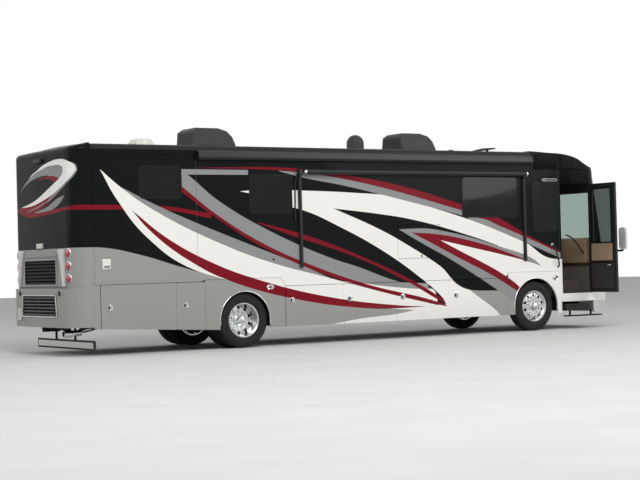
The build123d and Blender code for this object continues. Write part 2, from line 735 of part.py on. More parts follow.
def bay_bulkheads():
    """The plates between the bays: one ahead of each door and one behind each group of doors."""
    seams = bay_seams()
    first_rear, first_mid = seams[0][0], seams[len(REAR_DOOR_LENGTHS)][0]
    plates = [bulkhead(x1, top) for x0, x1, top in seams]
    plates += [bulkhead(x, None) for x in (first_rear, first_mid)]
    return Compound(children=plates + [mirrored(p) for p in plates])


def bay_floors():
    """The bays' floor pans: one wide pan amidships and one each side of the engine."""
    seams, t, edge = bay_seams(), BAY_FLOOR_T, BULKHEAD_T / 2
    mid = len(REAR_DOOR_LENGTHS)
    x0, x1 = seams[mid][0] - edge, seams[-1][1] + edge
    wide = box(x0, x1, -BULKHEAD_Y, BULKHEAD_Y, SKIRT_Z, SKIRT_Z + t)
    a, b = seams[0][0] - edge, seams[mid - 1][1] + edge
    outline = [(a, skirt_low(a)), (b, skirt_low(b)), (b, skirt_low(b) + t), (a, skirt_low(a) + t)]
    rear = slab_xz(outline, -BULKHEAD_Y, -BAY_BACK_Y)
    return Compound(children=[wide, rear, mirrored(rear)])


def arch_cut(x, r):
    """The opening of a wheel arch in a curb-side skirt."""
    y0, y1 = -HALF - 1, -HALF + SKIRT_T + 1
    return rod_y(x, y0, y1, AXLE_Z, r) + box(x - r, x + r, y0, y1, 0, AXLE_Z)


def skirts():
    """The fixed lower panels round the wheel arches and behind the last door, both sides."""
    seams = bay_seams()
    back, front = seams[1][1] + SEAM, REAR_ARCH_FRONT - SEAM
    foot = wall_foot()
    rear = [(back, skirt_low(back)), (TAIL_RISE_X, SKIRT_Z), (front, SKIRT_Z), (front, foot[4][1])]
    rear += [foot[4], foot[3], foot[2], (back, foot[2][1])]
    rear_panel = side_slab(rear, SKIRT_T) - arch_cut(0, TYRE_R + REAR_ARCH_GAP)
    x0, x1, z1 = seams[-1][1] + SEAM, DOOR_SEAM_X, RAIL_TOP - FOOT_AT_FRONT
    front_panel = side_slab([(x0, SKIRT_Z), (x1, SKIRT_Z - 10), (x1, z1), (x0, z1)], SKIRT_T)
    front_panel -= arch_cut(WHEELBASE + 20, TYRE_R + FRONT_ARCH_GAP)
    a, b = CAP_SEAM_X, seams[0][0] - SEAM
    tail = side_slab([(a, skirt_low(a)), (b, skirt_low(b)), (b, RAIL_TOP), (a, RAIL_TOP)], SKIRT_T)
    pieces = [rear_panel, front_panel, tail]
    return Compound(children=pieces + [mirrored(p) for p in pieces])


def well_x():
    """The entry step well's rear and front x, just inside the doorway."""
    return ENTRY_BACK_X + 12, ENTRY_FRONT_X - 12


def well_treads():
    """The step well's risers as y and its treads as z, from the door inwards."""
    rise = (FLOOR_TOP - ENTRY_LOW_Z + 30) / 2
    return -HALF + ENTRY_T + 12, -HALF + 325, -HALF + 655, ENTRY_LOW_Z - 60, rise


def floor_deck():
    """The cabin floor, with the entry's step well cut out of it."""
    deck = front_plan(WALL + DECK_GAP, CAP_SEAM_X + WALL, RAIL_TOP, FLOOR_TOP)
    x0, x1 = well_x()
    y_front, y_back = well_treads()[0], well_treads()[2] + 30
    gap = 2 * SEAM
    deck -= box(ENTRY_BACK_X - gap, ENTRY_FRONT_X + gap, -HALF, y_front, RAIL_TOP - 1, FLOOR_TOP + 1)
    return deck - box(x0, x1, -HALF, y_back, RAIL_TOP - WALL, FLOOR_TOP + 1)


def step_well():
    """The pressed stair inside the entry door, two risers up to the floor, between two cheeks."""
    y0, y1, y2, low, rise = well_treads()
    t = 30.0
    top, mid = FLOOR_TOP, low + rise - 14
    stair = [(y0, low), (y1 + t, low), (y1 + t, mid), (y2 + t, mid), (y2 + t, top), (y2, top)]
    stair += [(y2, mid + t), (y1, mid + t), (y1, low + t), (y0, low + t)]
    cheek = [(y0, low), (y1 + t, low), (y1 + t, mid), (y2 + t, mid), (y2 + t, top), (y0, top)]
    x0, x1 = well_x()
    return slab_yz(stair, x0, x1) + slab_yz(cheek, x0, x0 + 20) + slab_yz(cheek, x1 - 20, x1)


def cross_places():
    """The x of each frame cross member: one behind, four round the axles and three between them."""
    near, front = 700.0, WHEELBASE - 50
    engine = ENGINE_X + ENGINE_L + ENGINE_CLEAR + CROSS_HALF
    ends = [RAIL_BACK_X + CROSS_HALF, engine, -near, near, front - near, front + near]
    span = (WHEELBASE - 2 * near) / 4
    return ends + [near + span * i for i in (1, 2, 3)] + [FRONT_X - RAIL_NOSE_SET - CROSS_HALF - 20]


def chassis_frame():
    """Two channel rails and their cross members."""
    web_y, nose_x = RAIL_Y - RAIL_T, FRONT_X - RAIL_NOSE_SET
    rail = box(RAIL_BACK_X, nose_x, web_y, RAIL_Y, RAIL_LOW, RAIL_TOP)
    for z in (RAIL_LOW, RAIL_TOP - RAIL_T):
        rail += box(RAIL_BACK_X, nose_x, RAIL_Y - RAIL_W, RAIL_Y, z, z + RAIL_T)
    frame = rail + mirrored(rail)
    low, high = RAIL_LOW + CROSS_INSET, RAIL_TOP - CROSS_INSET
    for x in cross_places():
        frame += box(x - CROSS_HALF, x + CROSS_HALF, -web_y, web_y, low, high)
    return frame


def hitch():
    """The trailer hitch: a cross tube on two drop brackets and a square receiver."""
    x0, x1, h, b = RAIL_BACK_X + 20, RAIL_BACK_X + 100, HITCH_TUBE / 2, HITCH_BORE / 2
    bar = box(x0, x1, -HITCH_BAR_HALF, HITCH_BAR_HALF, HITCH_Z - 10, HITCH_Z + 70)
    for y in (-RAIL_Y, RAIL_Y - 12):
        bar += box(x0 - 10, x1 + 20, y, y + 12, HITCH_Z - 10, RAIL_LOW)
    bar += box(REAR_X, x1 + 20, -h, h, HITCH_Z - h, HITCH_Z + h)
    bar -= box(REAR_X - 1, x0 + 40, -b, b, HITCH_Z - b, HITCH_Z + b)
    return bar - rod_y(REAR_X + 65, -h - 1, h + 1, HITCH_Z, HITCH_PIN_R)


def ring_corner(r, w, i, x, y):
    """Corner i of a flat-sided circle whose flats lie at radius r, w along the axle."""
    angle = radians(360 / WHEEL_SIDES * (i + 0.5))
    reach = r / cos(radians(180 / WHEEL_SIDES))
    return Vector(x + reach * cos(angle), y + w, AXLE_Z + reach * sin(angle))


def ring(outline, x, y):
    """A ring round a wheel's axle, from a closed outline of (radius, width) points."""
    faces = []
    for (r0, w0), (r1, w1) in zip(outline, outline[1:] + outline[:1]):
        for i in range(WHEEL_SIDES):
            a, b = ring_corner(r0, w0, i, x, y), ring_corner(r0, w0, i + 1, x, y)
            c, d = ring_corner(r1, w1, i + 1, x, y), ring_corner(r1, w1, i, x, y)
            faces.append(Face(Wire.make_polygon([a, b, c, d])))
    return Solid(Shell(faces))


def tyre(x, y):
    """A tyre: round shoulders, upright sidewalls and beads that seat inside the rim's flanges."""
    w, tread_w, shoulder_r = TYRE_HALF_W, TYRE_HALF_W - SHOULDER_W, TYRE_R - SHOULDER_H
    side_r, bead_w = BEAD_R + SIDEWALL_H, RIM_HALF_W - FLANGE_W - JOINT_GAP
    near = [(shoulder_r, -w), (TYRE_R, -tread_w), (TYRE_R, tread_w), (shoulder_r, w)]
    return ring(near + [(side_r, w), (BEAD_R, bead_w), (BEAD_R, -bead_w), (side_r, -w)], x, y)


def hand_holes(rim, x, y0, y1, pitch_r):
    """A wheel with the ring of eight-sided hand holes cut in its disc."""
    for i in range(HAND_HOLES):
        angle = radians(360 / HAND_HOLES * i)
        centre = (x + pitch_r * cos(angle), y0, AXLE_Z + pitch_r * sin(angle))
        plane = Plane(origin=centre, x_dir=(1, 0, 0), z_dir=(0, 1, 0))
        rim -= extrude(plane * RegularPolygon(HAND_HOLE_R, 8, major_radius=False), amount=y1 - y0)
    return rim


def front_rim(y):
    """A curb-side front wheel: barrel, bulged disc with hand holes, and a hub with its cap."""
    x, h, seat_r, seat_w = WHEELBASE, RIM_HALF_W, BEAD_R - JOINT_GAP, RIM_HALF_W - FLANGE_W
    flange_r, inner_r = seat_r + FLANGE_H, seat_r - RIM_T
    crown, edge, t = -h + 26, -h + 48, 14.0
    barrel = [(flange_r, -h), (seat_r, -seat_w), (seat_r, seat_w), (flange_r, h), (inner_r, h)]
    disc = [(inner_r, edge + t), (150, crown + t), (100, crown + t), (100, crown), (170, crown)]
    rim = ring(barrel + disc + [(inner_r, edge), (inner_r, -h)], x, y)
    rim = hand_holes(rim, x, y - h, y, 218)
    rim += rod_y(x, y + crown + 1, y + 40, AXLE_Z, 112)
    rim += rod_y(x, y - h + 8, y + crown + 2, AXLE_Z, 72)
    return rim - rod_y(x, y - 72, y + 41, AXLE_Z, HUB_BORE_R)


def rear_rims():
    """A curb-side pair of rear wheels bolted back to back, as one piece."""
    mid, reach = -(TWIN_OUTER_Y + TWIN_INNER_Y) / 2, (TWIN_OUTER_Y - TWIN_INNER_Y) / 2
    h, seat_r, seat_w = RIM_HALF_W, BEAD_R - JOINT_GAP, RIM_HALF_W - FLANGE_W
    flange_r, inner_r = seat_r + FLANGE_H, seat_r - RIM_T
    t, plate, edge = 16.0, 12.0, reach - RIM_HALF_W + FLANGE_W
    barrel = [(flange_r, reach + h), (seat_r, reach + seat_w), (seat_r, reach - seat_w)]
    barrel += [(flange_r, reach - h), (inner_r, reach - h)]
    dish = [(inner_r, edge), (200, 0), (inner_r, -edge)]
    far = [(r, -w) for r, w in reversed(barrel)]
    outside = [(inner_r, -reach - h), (inner_r, -edge - t), (190, -plate), (100, -plate)]
    outside += [(100, plate), (190, plate), (inner_r, edge + t), (inner_r, reach + h)]
    rims = ring(barrel + dish + far + outside, 0, mid)
    rims = hand_holes(rims, 0, mid - edge - 2 * t, mid + edge + 2 * t, 232)
    rims += rod_y(0, mid - 90, mid + 20, AXLE_Z, 115) + rod_y(0, mid - 130, mid - 88, AXLE_Z, 92)
    return rims - rod_y(0, mid - 90, mid + 21, AXLE_Z, HUB_BORE_R)


def front_axle():
    """The dropped steering beam with an eye at each kingpin and its air springs."""
    x, end = WHEELBASE, KINGPIN_Y - 20
    beam = box(x - 45, x + 45, -end, end, AXLE_Z - 45, AXLE_Z + 35)
    for y in (-KINGPIN_Y, KINGPIN_Y):
        beam += rod_z(x, y, AXLE_Z - 60, AXLE_Z + 60, 48)
    for y in (-KINGPIN_Y, KINGPIN_Y):
        beam -= rod_z(x, y, AXLE_Z - 61, AXLE_Z + 61, KINGPIN_R + JOINT_GAP)
    for y in (-RAIL_Y + 40, RAIL_Y - 40):
        beam += rod_z(x, y, AXLE_Z + 34, RAIL_LOW - JOINT_GAP, 115)
    return beam


def knuckle():
    """A curb-side knuckle: kingpin, two ears, brake disc and wheel spindle."""
    x, y = WHEELBASE, -KINGPIN_Y
    part = rod_z(x, y, AXLE_Z - 110, AXLE_Z + 110, KINGPIN_R)
    for z0, z1 in ((AXLE_Z - 100, AXLE_Z - 65), (AXLE_Z + 65, AXLE_Z + 100)):
        part += rod_z(x, y, z0, z1, 48)
        part += box(x - 45, x + 45, y - 100, y, z0, z1)
    part += box(x - 60, x + 60, y - 110, y - 60, AXLE_Z - 100, AXLE_Z + 100)
    part += rod_y(x, y - 132, y - 108, AXLE_Z, 180)
    return part + rod_y(x, -FRONT_TRACK_Y - 68, y - 108, AXLE_Z, HUB_BORE_R - HUB_CLEAR)


def rear_axle():
    """The drive axle: tubes, differential housing, spindles and air springs on two beams."""
    end = TWIN_OUTER_Y - 90
    tube_end = TWIN_INNER_Y - TYRE_HALF_W - 56
    axle = rod_y(0, -tube_end, tube_end, AXLE_Z, 78) + rod_y(0, -end, end, AXLE_Z, HUB_BORE_R - HUB_CLEAR)
    bowl = Pos(0, 0, AXLE_Z) * Rot(90, 0, 0)
    axle += bowl * Cylinder(215, 260) + bowl * Cylinder(150, 380)
    axle += rod_x(-330, -200, 0, AXLE_Z, 70)
    for y in (-RAIL_Y + 40, RAIL_Y - 40):
        axle += box(-330, 330, y - 50, y + 50, AXLE_Z + 30, AXLE_Z + 70)
        for x in (-230, 230):
            axle += rod_z(x, y, AXLE_Z + 60, RAIL_LOW - JOINT_GAP, 115)
    return axle


def engine_block():
    """The engine as one plain block between the rails, behind the rear axle."""
    inside = RAIL_Y - RAIL_W - JOINT_GAP
    return box(ENGINE_X, ENGINE_X + ENGINE_L, -inside, inside, ENGINE_LOW_Z, RAIL_TOP - CROSS_INSET - 1)


def roof_air_units():
    """Two low air-conditioner covers with sloping ends and sides."""
    z, h, half = ROOF_Z, AIR_UNIT_H, AIR_UNIT_HALF
    across = [(-half, z), (-half, z + 60), (-half + 50, z + h - 60), (-half + 110, z + h)]
    section = across + [(-y, top) for y, top in reversed(across)]
    covers = []
    for x, length in AIR_UNITS:
        a, b = x - length / 2, x + length / 2
        along = [(a, z), (a, z + h - 60), (a + 70, z + h), (b - 300, z + h)]
        along += [(b - 150, z + h - 55), (b - 50, z + h - 160), (b, z + h - 300), (b, z)]
        cover = slab_xz(along, -half, half) & slab_yz(section, a, b)
        covers.append(cover - roof_bed())
    return Compound(children=covers)


def vent_lid(x, half, height):
    """A roof vent's lid with sloping edges."""
    lid = box(x - half, x + half, -half, half, ROOF_Z, ROOF_Z + height)
    top = [e for e in lid.edges() if e.center().Z > ROOF_Z + height - 1]
    return chamfer(top, half / 6)


def roof_fittings():
    """The satellite dome, the vent lids and the television aerial."""
    foot = ROOF_Z + DOME_FOOT
    dome = rod_z(DOME_X, 0, ROOF_Z, foot, DOME_R) + Pos(DOME_X, 0, foot) * Sphere(DOME_R)
    mast = rod_z(AERIAL_X, 0, ROOF_Z, ROOF_Z + 140, 35)
    wing_y = AERIAL_L / 3
    wing = box(AERIAL_X - 60, AERIAL_X + 60, -wing_y, AERIAL_L - wing_y, ROOF_Z + 135, ROOF_Z + 165)
    pieces = [dome, mast + wing] + [vent_lid(*place) for place in VENTS]
    return Compound(children=[piece - roof_bed() for piece in pieces])


def awning_case():
    """The long window-awning case under the roof edge, curb side."""
    y, top = -HALF, ROOF_Z - CASE_DROP
    low = top - CASE_H
    section = [(y, low), (y - 70, low + 10), (y - CASE_OUT, low + 50), (y - 80, top - 25), (y - 30, top)]
    section.append((y, top))
    return slab_yz(section, CASE_BACK_X, BROW_START_X - 60)


def awning_roller():
    """The patio awning's roller with its two folded arms."""
    y, z = -HALF - ROLLER_R - 14, ROOF_Z - ROLLER_DROP
    front_x = BROW_START_X - 200
    roller = rod_x(ROLLER_BACK_X, front_x, y, z, ROLLER_R)
    for x in (ROLLER_BACK_X - 110, front_x - 90):
        roller += box(x, x + ARM_W, -HALF - ARM_OUT, -HALF, FLOOR_TOP + ARM_FOOT_UP, z + 50)
    return roller + rod_x(ROLLER_BACK_X - 110, ROLLER_BACK_X + 10, y, z, ROLLER_R - 8)


def mirrors():
    """The two outside mirrors on their arms, on the front corners."""
    low, top = MIRROR_LOW_Z, MIRROR_LOW_Z + MIRROR_H
    head = box(MIRROR_X, MIRROR_X + MIRROR_T, -MIRROR_OUT_Y, -MIRROR_IN_Y, low, top)
    head = chamfer(head.edges(), 22)
    y, z = -HALF + 65, low + 60
    arm = box(FRONT_X - 240, MIRROR_X + 50, y, y + 50, z, z + 50)
    arm += box(MIRROR_X + 10, MIRROR_X + 50, -MIRROR_IN_Y - 60, y + 50, z + 5, z + 45)
    return both(head + (arm - front_form(-JOINT_GAP)))


def headlamps():
    """The two headlamp lenses that wrap the front corners."""
    skin = front_form(-HEADLAMP_T) - front_form(0)
    low = HEADLAMP_LOW_Z
    zone = box(FRONT_X - 290, FRONT_X + WALL, -HALF + 95, -HEADLAMP_IN_Y, low, low + HEADLAMP_H)
    return both(skin & zone)


def tail_lamps():
    """Six round tail lamps, three on each rear corner."""
    return Compound(children=[rod_x(REAR_X - 10, REAR_X + 60, y, z, LAMP_R) for y, z in lamp_places()])


def exhaust():
    """The mitred tailpipe, which runs back under the engine and out beside the hitch."""
    out, under = REAR_X + 30, -RAIL_Y + 150
    high = ENGINE_LOW_Z - EXHAUST_R - JOINT_GAP
    route = [
        (out, -EXHAUST_OUT_Y, EXHAUST_Z - 10),
        (out + 280, -EXHAUST_OUT_Y, EXHAUST_Z),
        (out + 540, under, EXHAUST_Z + 15),
        (out + 900, under, high),
        (out + 1000, under, high),
    ]
    path = Polyline(*route)
    start = Plane(origin=path @ 0, z_dir=path % 0)
    pipe = sweep(start * Circle(EXHAUST_R), path=path, transition=Transition.RIGHT)
    return pipe - sweep(start * Circle(EXHAUST_R - EXHAUST_T), path=path, transition=Transition.RIGHT)


def stone_guard():
    """The full-width stone guard behind the rear wheels, on two hangers."""
    x, top = CAP_SEAM_X + 40, GUARD_LOW_Z + GUARD_H
    half = HALF - 95
    plate = box(x, x + GUARD_T, -half, half, GUARD_LOW_Z, top)
    for y in (-RAIL_Y + 20, RAIL_Y - 60):
        plate += box(x - 5, x + GUARD_T + 5, y, y + 40, top, RAIL_LOW)
    return plate


def entry_steps():
    """The powered step under the entry door, part drawn in."""
    x0, x1, y_in = ENTRY_BACK_X + 20, ENTRY_FRONT_X - 130, -HALF + 575
    low, top, well = FRONT_BUMPER_Z + 60, FRONT_BUMPER_Z + 190, well_treads()[3]
    case = box(x0, x1, -HALF - 60, y_in, low, top) + box(x0, x1, y_in - 300, y_in, top, well)
    tread_z = low - 115
    tread = box(x0, x1 + 250, -HALF - 145, -HALF + 35, tread_z, tread_z + 25)
    for x in (x0 + 130, x1 + 50):
        tread += box(x, x + 25, -HALF - 25, -HALF + 15, tread_z + 25, low + 1)
    return case + tread + box(x1, x1 + 75, -HALF - 25, -HALF + 15, low, low + 30)


def dashboard():
    """The full-width dashboard with the steering column and wheel."""
    x, z = FRONT_X - 400, FLOOR_TOP
    outline = [(x - 170, z + 80), (x + 330, z + 80), (x + 330, z + 260), (x + 10, z + 580)]
    outline += [(x - 130, z + 540), (x - 200, z + 340)]
    dash = slab_xz(outline, -HALF + 175, HALF - 125)
    base = box(x - 40, x + 60, -HALF + 275, HALF - 275, z, z + 81)
    wheel_at = Pos(x - 390, DRIVER_Y, z + 570) * Rot(0, -35, 0)
    column = Pos(x - 290, DRIVER_Y, z + 420) * Rot(0, -35, 0) * Cylinder(30, 420)
    wheel = wheel_at * (Cylinder(222, 28) - Cylinder(194, 30) + Box(30, 400, 16) + Box(400, 30, 16))
    return ((dash + base) & front_form(WALL + 2)) + column + wheel


def seat(x, y):
    """One cab seat on its pedestal, with a raked back and a head rest."""
    z = FLOOR_TOP
    pedestal = box(x - 170, x + 170, y - 150, y + 150, z, z + 290)
    cushion = [(x - 260, z + 290), (x + 270, z + 290), (x + 270, z + 400), (x + 220, z + 440)]
    cushion.append((x - 260, z + 410))
    back = [(x - 250, z + 400), (x - 110, z + 400), (x - 270, z + 1060), (x - 380, z + 1060)]
    rest = [(x - 280, z + 1040), (x - 365, z + 1040), (x - 405, z + 1230), (x - 320, z + 1230)]
    body = slab_xz(cushion, y - 270, y + 270) + slab_xz(back, y - 255, y + 255)
    return pedestal + body + slab_xz(rest, y - 140, y + 140)


def cab_seats():
    """The driver's and the passenger's seat."""
    return Compound(children=[seat(FRONT_X - DRIVER_SET, DRIVER_Y), seat(FRONT_X - PASSENGER_SET, -PASSENGER_Y)])


def tv_door():
    """The lift-up door over the outside television, hinged on its top edge."""
    g = SEAM
    x0, x1, z0, z1 = TV_BACK_X + g, TV_FRONT_X - g, TV_LOW_Z + g, TV_TOP_Z - g
    panel = side_slab([(x0, z0), (x1, z0), (x1, z1), (x0, z1)], SKIRT_T)
    a, b = TV_BACK_X + 3 * HINGE_INSET, TV_FRONT_X - 3 * HINGE_INSET
    web = box(a, b, -HALF, -HALF + 3, TV_TOP_Z - g - 1, TV_TOP_Z)
    return panel + web + rod_x(a, b, -HALF, TV_TOP_Z, BARREL_R)


def tv_case():
    """The recess behind the television door, with its screen, and the hinge's fixed leaf."""
    s, back, front = TV_SHELL, -HALF + TV_DEPTH, -HALF + WALL
    top = TV_TOP_Z + LEAF_T / 2
    case = box(TV_BACK_X, TV_FRONT_X, front, back, TV_LOW_Z, top)
    case -= box(TV_BACK_X + s, TV_FRONT_X - s, front - 1, back - s, TV_LOW_Z + s, TV_TOP_Z - s)
    case += box(TV_BACK_X + 60, TV_FRONT_X - 60, back - 70, back - s + 1, TV_LOW_Z + 60, TV_TOP_Z - 60)
    a, b = TV_BACK_X + 3 * HINGE_INSET, TV_FRONT_X - 3 * HINGE_INSET
    return case + box(a, b, -HALF + BARREL_R + JOINT_GAP, front, top - LEAF_T, top)


# Every fixed piece: node name, function
FIXED_PIECES = (
    ("chassis_frame", chassis_frame),
    ("hitch_receiver", hitch),
    ("floor_deck", floor_deck),
    ("step_well", step_well),
    ("bay_bulkheads", bay_bulkheads),
    ("bay_floors", bay_floors),
    ("wall_right", right_wall),
    ("wall_left", lambda: mirrored(side_wall(LEFT_WINDOWS))),
    ("roof", roof),
    ("rear_cap", rear_cap),
    ("rear_bumper", rear_bumper),
    ("rear_louvre", rear_louvre),
    ("front_cap", front_cap),
    ("front_bumper", front_bumper),
    ("front_grille", front_grille),
    ("windshield", windshield),
    ("skirts", skirts),
    ("engine_block", engine_block),
    ("front_axle", front_axle),
    ("rear_axle", rear_axle),
    ("roof_air_units", roof_air_units),
    ("roof_fittings", roof_fittings),
    ("awning_case", awning_case),
    ("awning_roller", awning_roller),
    ("mirrors", mirrors),
    ("headlamps", headlamps),
    ("tail_lamps", tail_lamps),
    ("exhaust_pipe", exhaust),
    ("stone_guard", stone_guard),
    ("entry_steps", entry_steps),
    ("dashboard", dashboard),
    ("cab_seats", cab_seats),
    ("tv_case", tv_case),
)


def build_body():
    """Everything that is fixed to the frame."""
    for node, make in FIXED_PIECES:
        save(node, make())
    panes = window_panes(RIGHT_WINDOWS) + [mirrored(p) for p in window_panes(LEFT_WINDOWS)]
    save("side_windows", Compound(children=panes))


def build_doors():
    """Every door and lid, as it is stored."""
    save("entry_door", entry_door())
    save("entry_door_glass", entry_glass())
    save("tv_door", tv_door())
    save("engine_hatch", engine_hatch())
    for number, (x0, x1, top) in enumerate(bay_seams(), 1):
        save(f"bay_door_right_{number}", bay_door(x0, x1, top))
        save(f"bay_door_left_{number}", mirrored(bay_door(x0, x1, top)))


def build_wheels():
    """Knuckles, tyres and rims, drawn on the curb side and mirrored."""
    twins = [tyre(0, -y) for y in (TWIN_OUTER_Y, TWIN_INNER_Y)]
    pieces = (
        ("knuckle", knuckle()),
        ("tyre_front", tyre(WHEELBASE, -FRONT_TRACK_Y)),
        ("rim_front", front_rim(-FRONT_TRACK_Y)),
        ("tyres_rear", Compound(children=twins)),
        ("rims_rear", rear_rims()),
    )
    for name, shape in pieces:
        save(f"{name}_right", shape)
        save(f"{name}_left", mirrored(shape))


os.makedirs("parts", exist_ok=True)
build_body()
build_doors()
build_wheels()
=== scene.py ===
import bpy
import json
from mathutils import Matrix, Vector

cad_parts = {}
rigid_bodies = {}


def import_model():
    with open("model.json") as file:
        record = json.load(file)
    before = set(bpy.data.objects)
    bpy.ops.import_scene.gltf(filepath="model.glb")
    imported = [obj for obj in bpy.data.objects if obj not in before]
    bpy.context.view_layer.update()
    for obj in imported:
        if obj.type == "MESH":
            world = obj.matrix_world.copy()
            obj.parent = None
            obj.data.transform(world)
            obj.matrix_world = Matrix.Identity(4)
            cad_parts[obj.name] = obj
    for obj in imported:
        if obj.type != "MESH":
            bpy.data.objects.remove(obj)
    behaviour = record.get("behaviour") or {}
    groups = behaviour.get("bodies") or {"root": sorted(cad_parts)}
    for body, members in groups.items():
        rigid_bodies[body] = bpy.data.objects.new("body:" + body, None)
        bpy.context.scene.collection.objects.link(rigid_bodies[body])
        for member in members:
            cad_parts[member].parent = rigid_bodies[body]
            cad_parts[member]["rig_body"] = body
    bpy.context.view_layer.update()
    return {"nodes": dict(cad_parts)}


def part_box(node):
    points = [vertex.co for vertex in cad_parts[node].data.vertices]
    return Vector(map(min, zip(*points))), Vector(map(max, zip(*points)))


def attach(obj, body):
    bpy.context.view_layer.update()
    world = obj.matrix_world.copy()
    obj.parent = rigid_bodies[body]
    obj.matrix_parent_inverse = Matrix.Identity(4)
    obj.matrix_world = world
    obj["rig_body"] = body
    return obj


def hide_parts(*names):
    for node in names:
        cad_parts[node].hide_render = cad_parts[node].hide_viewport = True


bl_info = {
    "name": "Motor coach",
    "version": (1, 0, 0),
    "blender": (4, 5, 0),
    "location": "View3D > Sidebar > Coach",
    "description": "Paint, glass, wheels, lamps and fittings of a rear-engined motor coach",
    "category": "Object",
}

import json
from math import cos, pi, radians, sin

import bpy
from mathutils import Matrix, Vector

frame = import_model()
NODES = frame["nodes"]

# Places are given from the rear axle on the centre line at ground level, in metres,
# with +X forward and +Y to the driver's side. at() moves them to the frame.
SKIRT_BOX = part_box("skirts")
REAR_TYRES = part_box("tyres_rear_right")
FRONT_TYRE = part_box("tyre_front_right")
AXLE_X = (REAR_TYRES[0].x + REAR_TYRES[1].x) / 2
MID_Y = (SKIRT_BOX[0].y + SKIRT_BOX[1].y) / 2
HALF = (SKIRT_BOX[1].y - SKIRT_BOX[0].y) / 2
TYRE_R = (REAR_TYRES[1].z - REAR_TYRES[0].z) / 2
WHEELBASE = (FRONT_TYRE[0].x + FRONT_TYRE[1].x) / 2 - AXLE_X
FRONT_TRACK = MID_Y - (FRONT_TYRE[0].y + FRONT_TYRE[1].y) / 2
TYRE_W = FRONT_TYRE[1].y - FRONT_TYRE[0].y
TWIN_OUTER = MID_Y - REAR_TYRES[0].y - TYRE_W / 2
TWIN_INNER = MID_Y - REAR_TYRES[1].y + TYRE_W / 2
REAR_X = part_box("rear_bumper")[0].x - AXLE_X + 0.060
FRONT_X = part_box("front_cap")[1].x - AXLE_X
ROOF_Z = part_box("wall_right")[1].z + 0.090
FLOOR_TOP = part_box("floor_deck")[1].z

# Side windows by side: back x, front x, low z, top z
WINDOWS = {
    -1: ((-1.97, -1.19, 2.59, 3.12), (0.15, 1.00, 2.33, 2.99), (4.80, 6.16, 2.23, 2.99),
         (6.54, 7.16, 1.94, 2.90)),
    1: ((-1.97, -1.19, 2.59, 3.12), (0.30, 1.50, 2.25, 2.99), (3.30, 4.90, 2.15, 2.99),
        (6.15, 7.10, 1.94, 2.99)),
}
WINDOW_R = 0.07
# How far a window's seal reaches round its pane
SEAL = 0.012

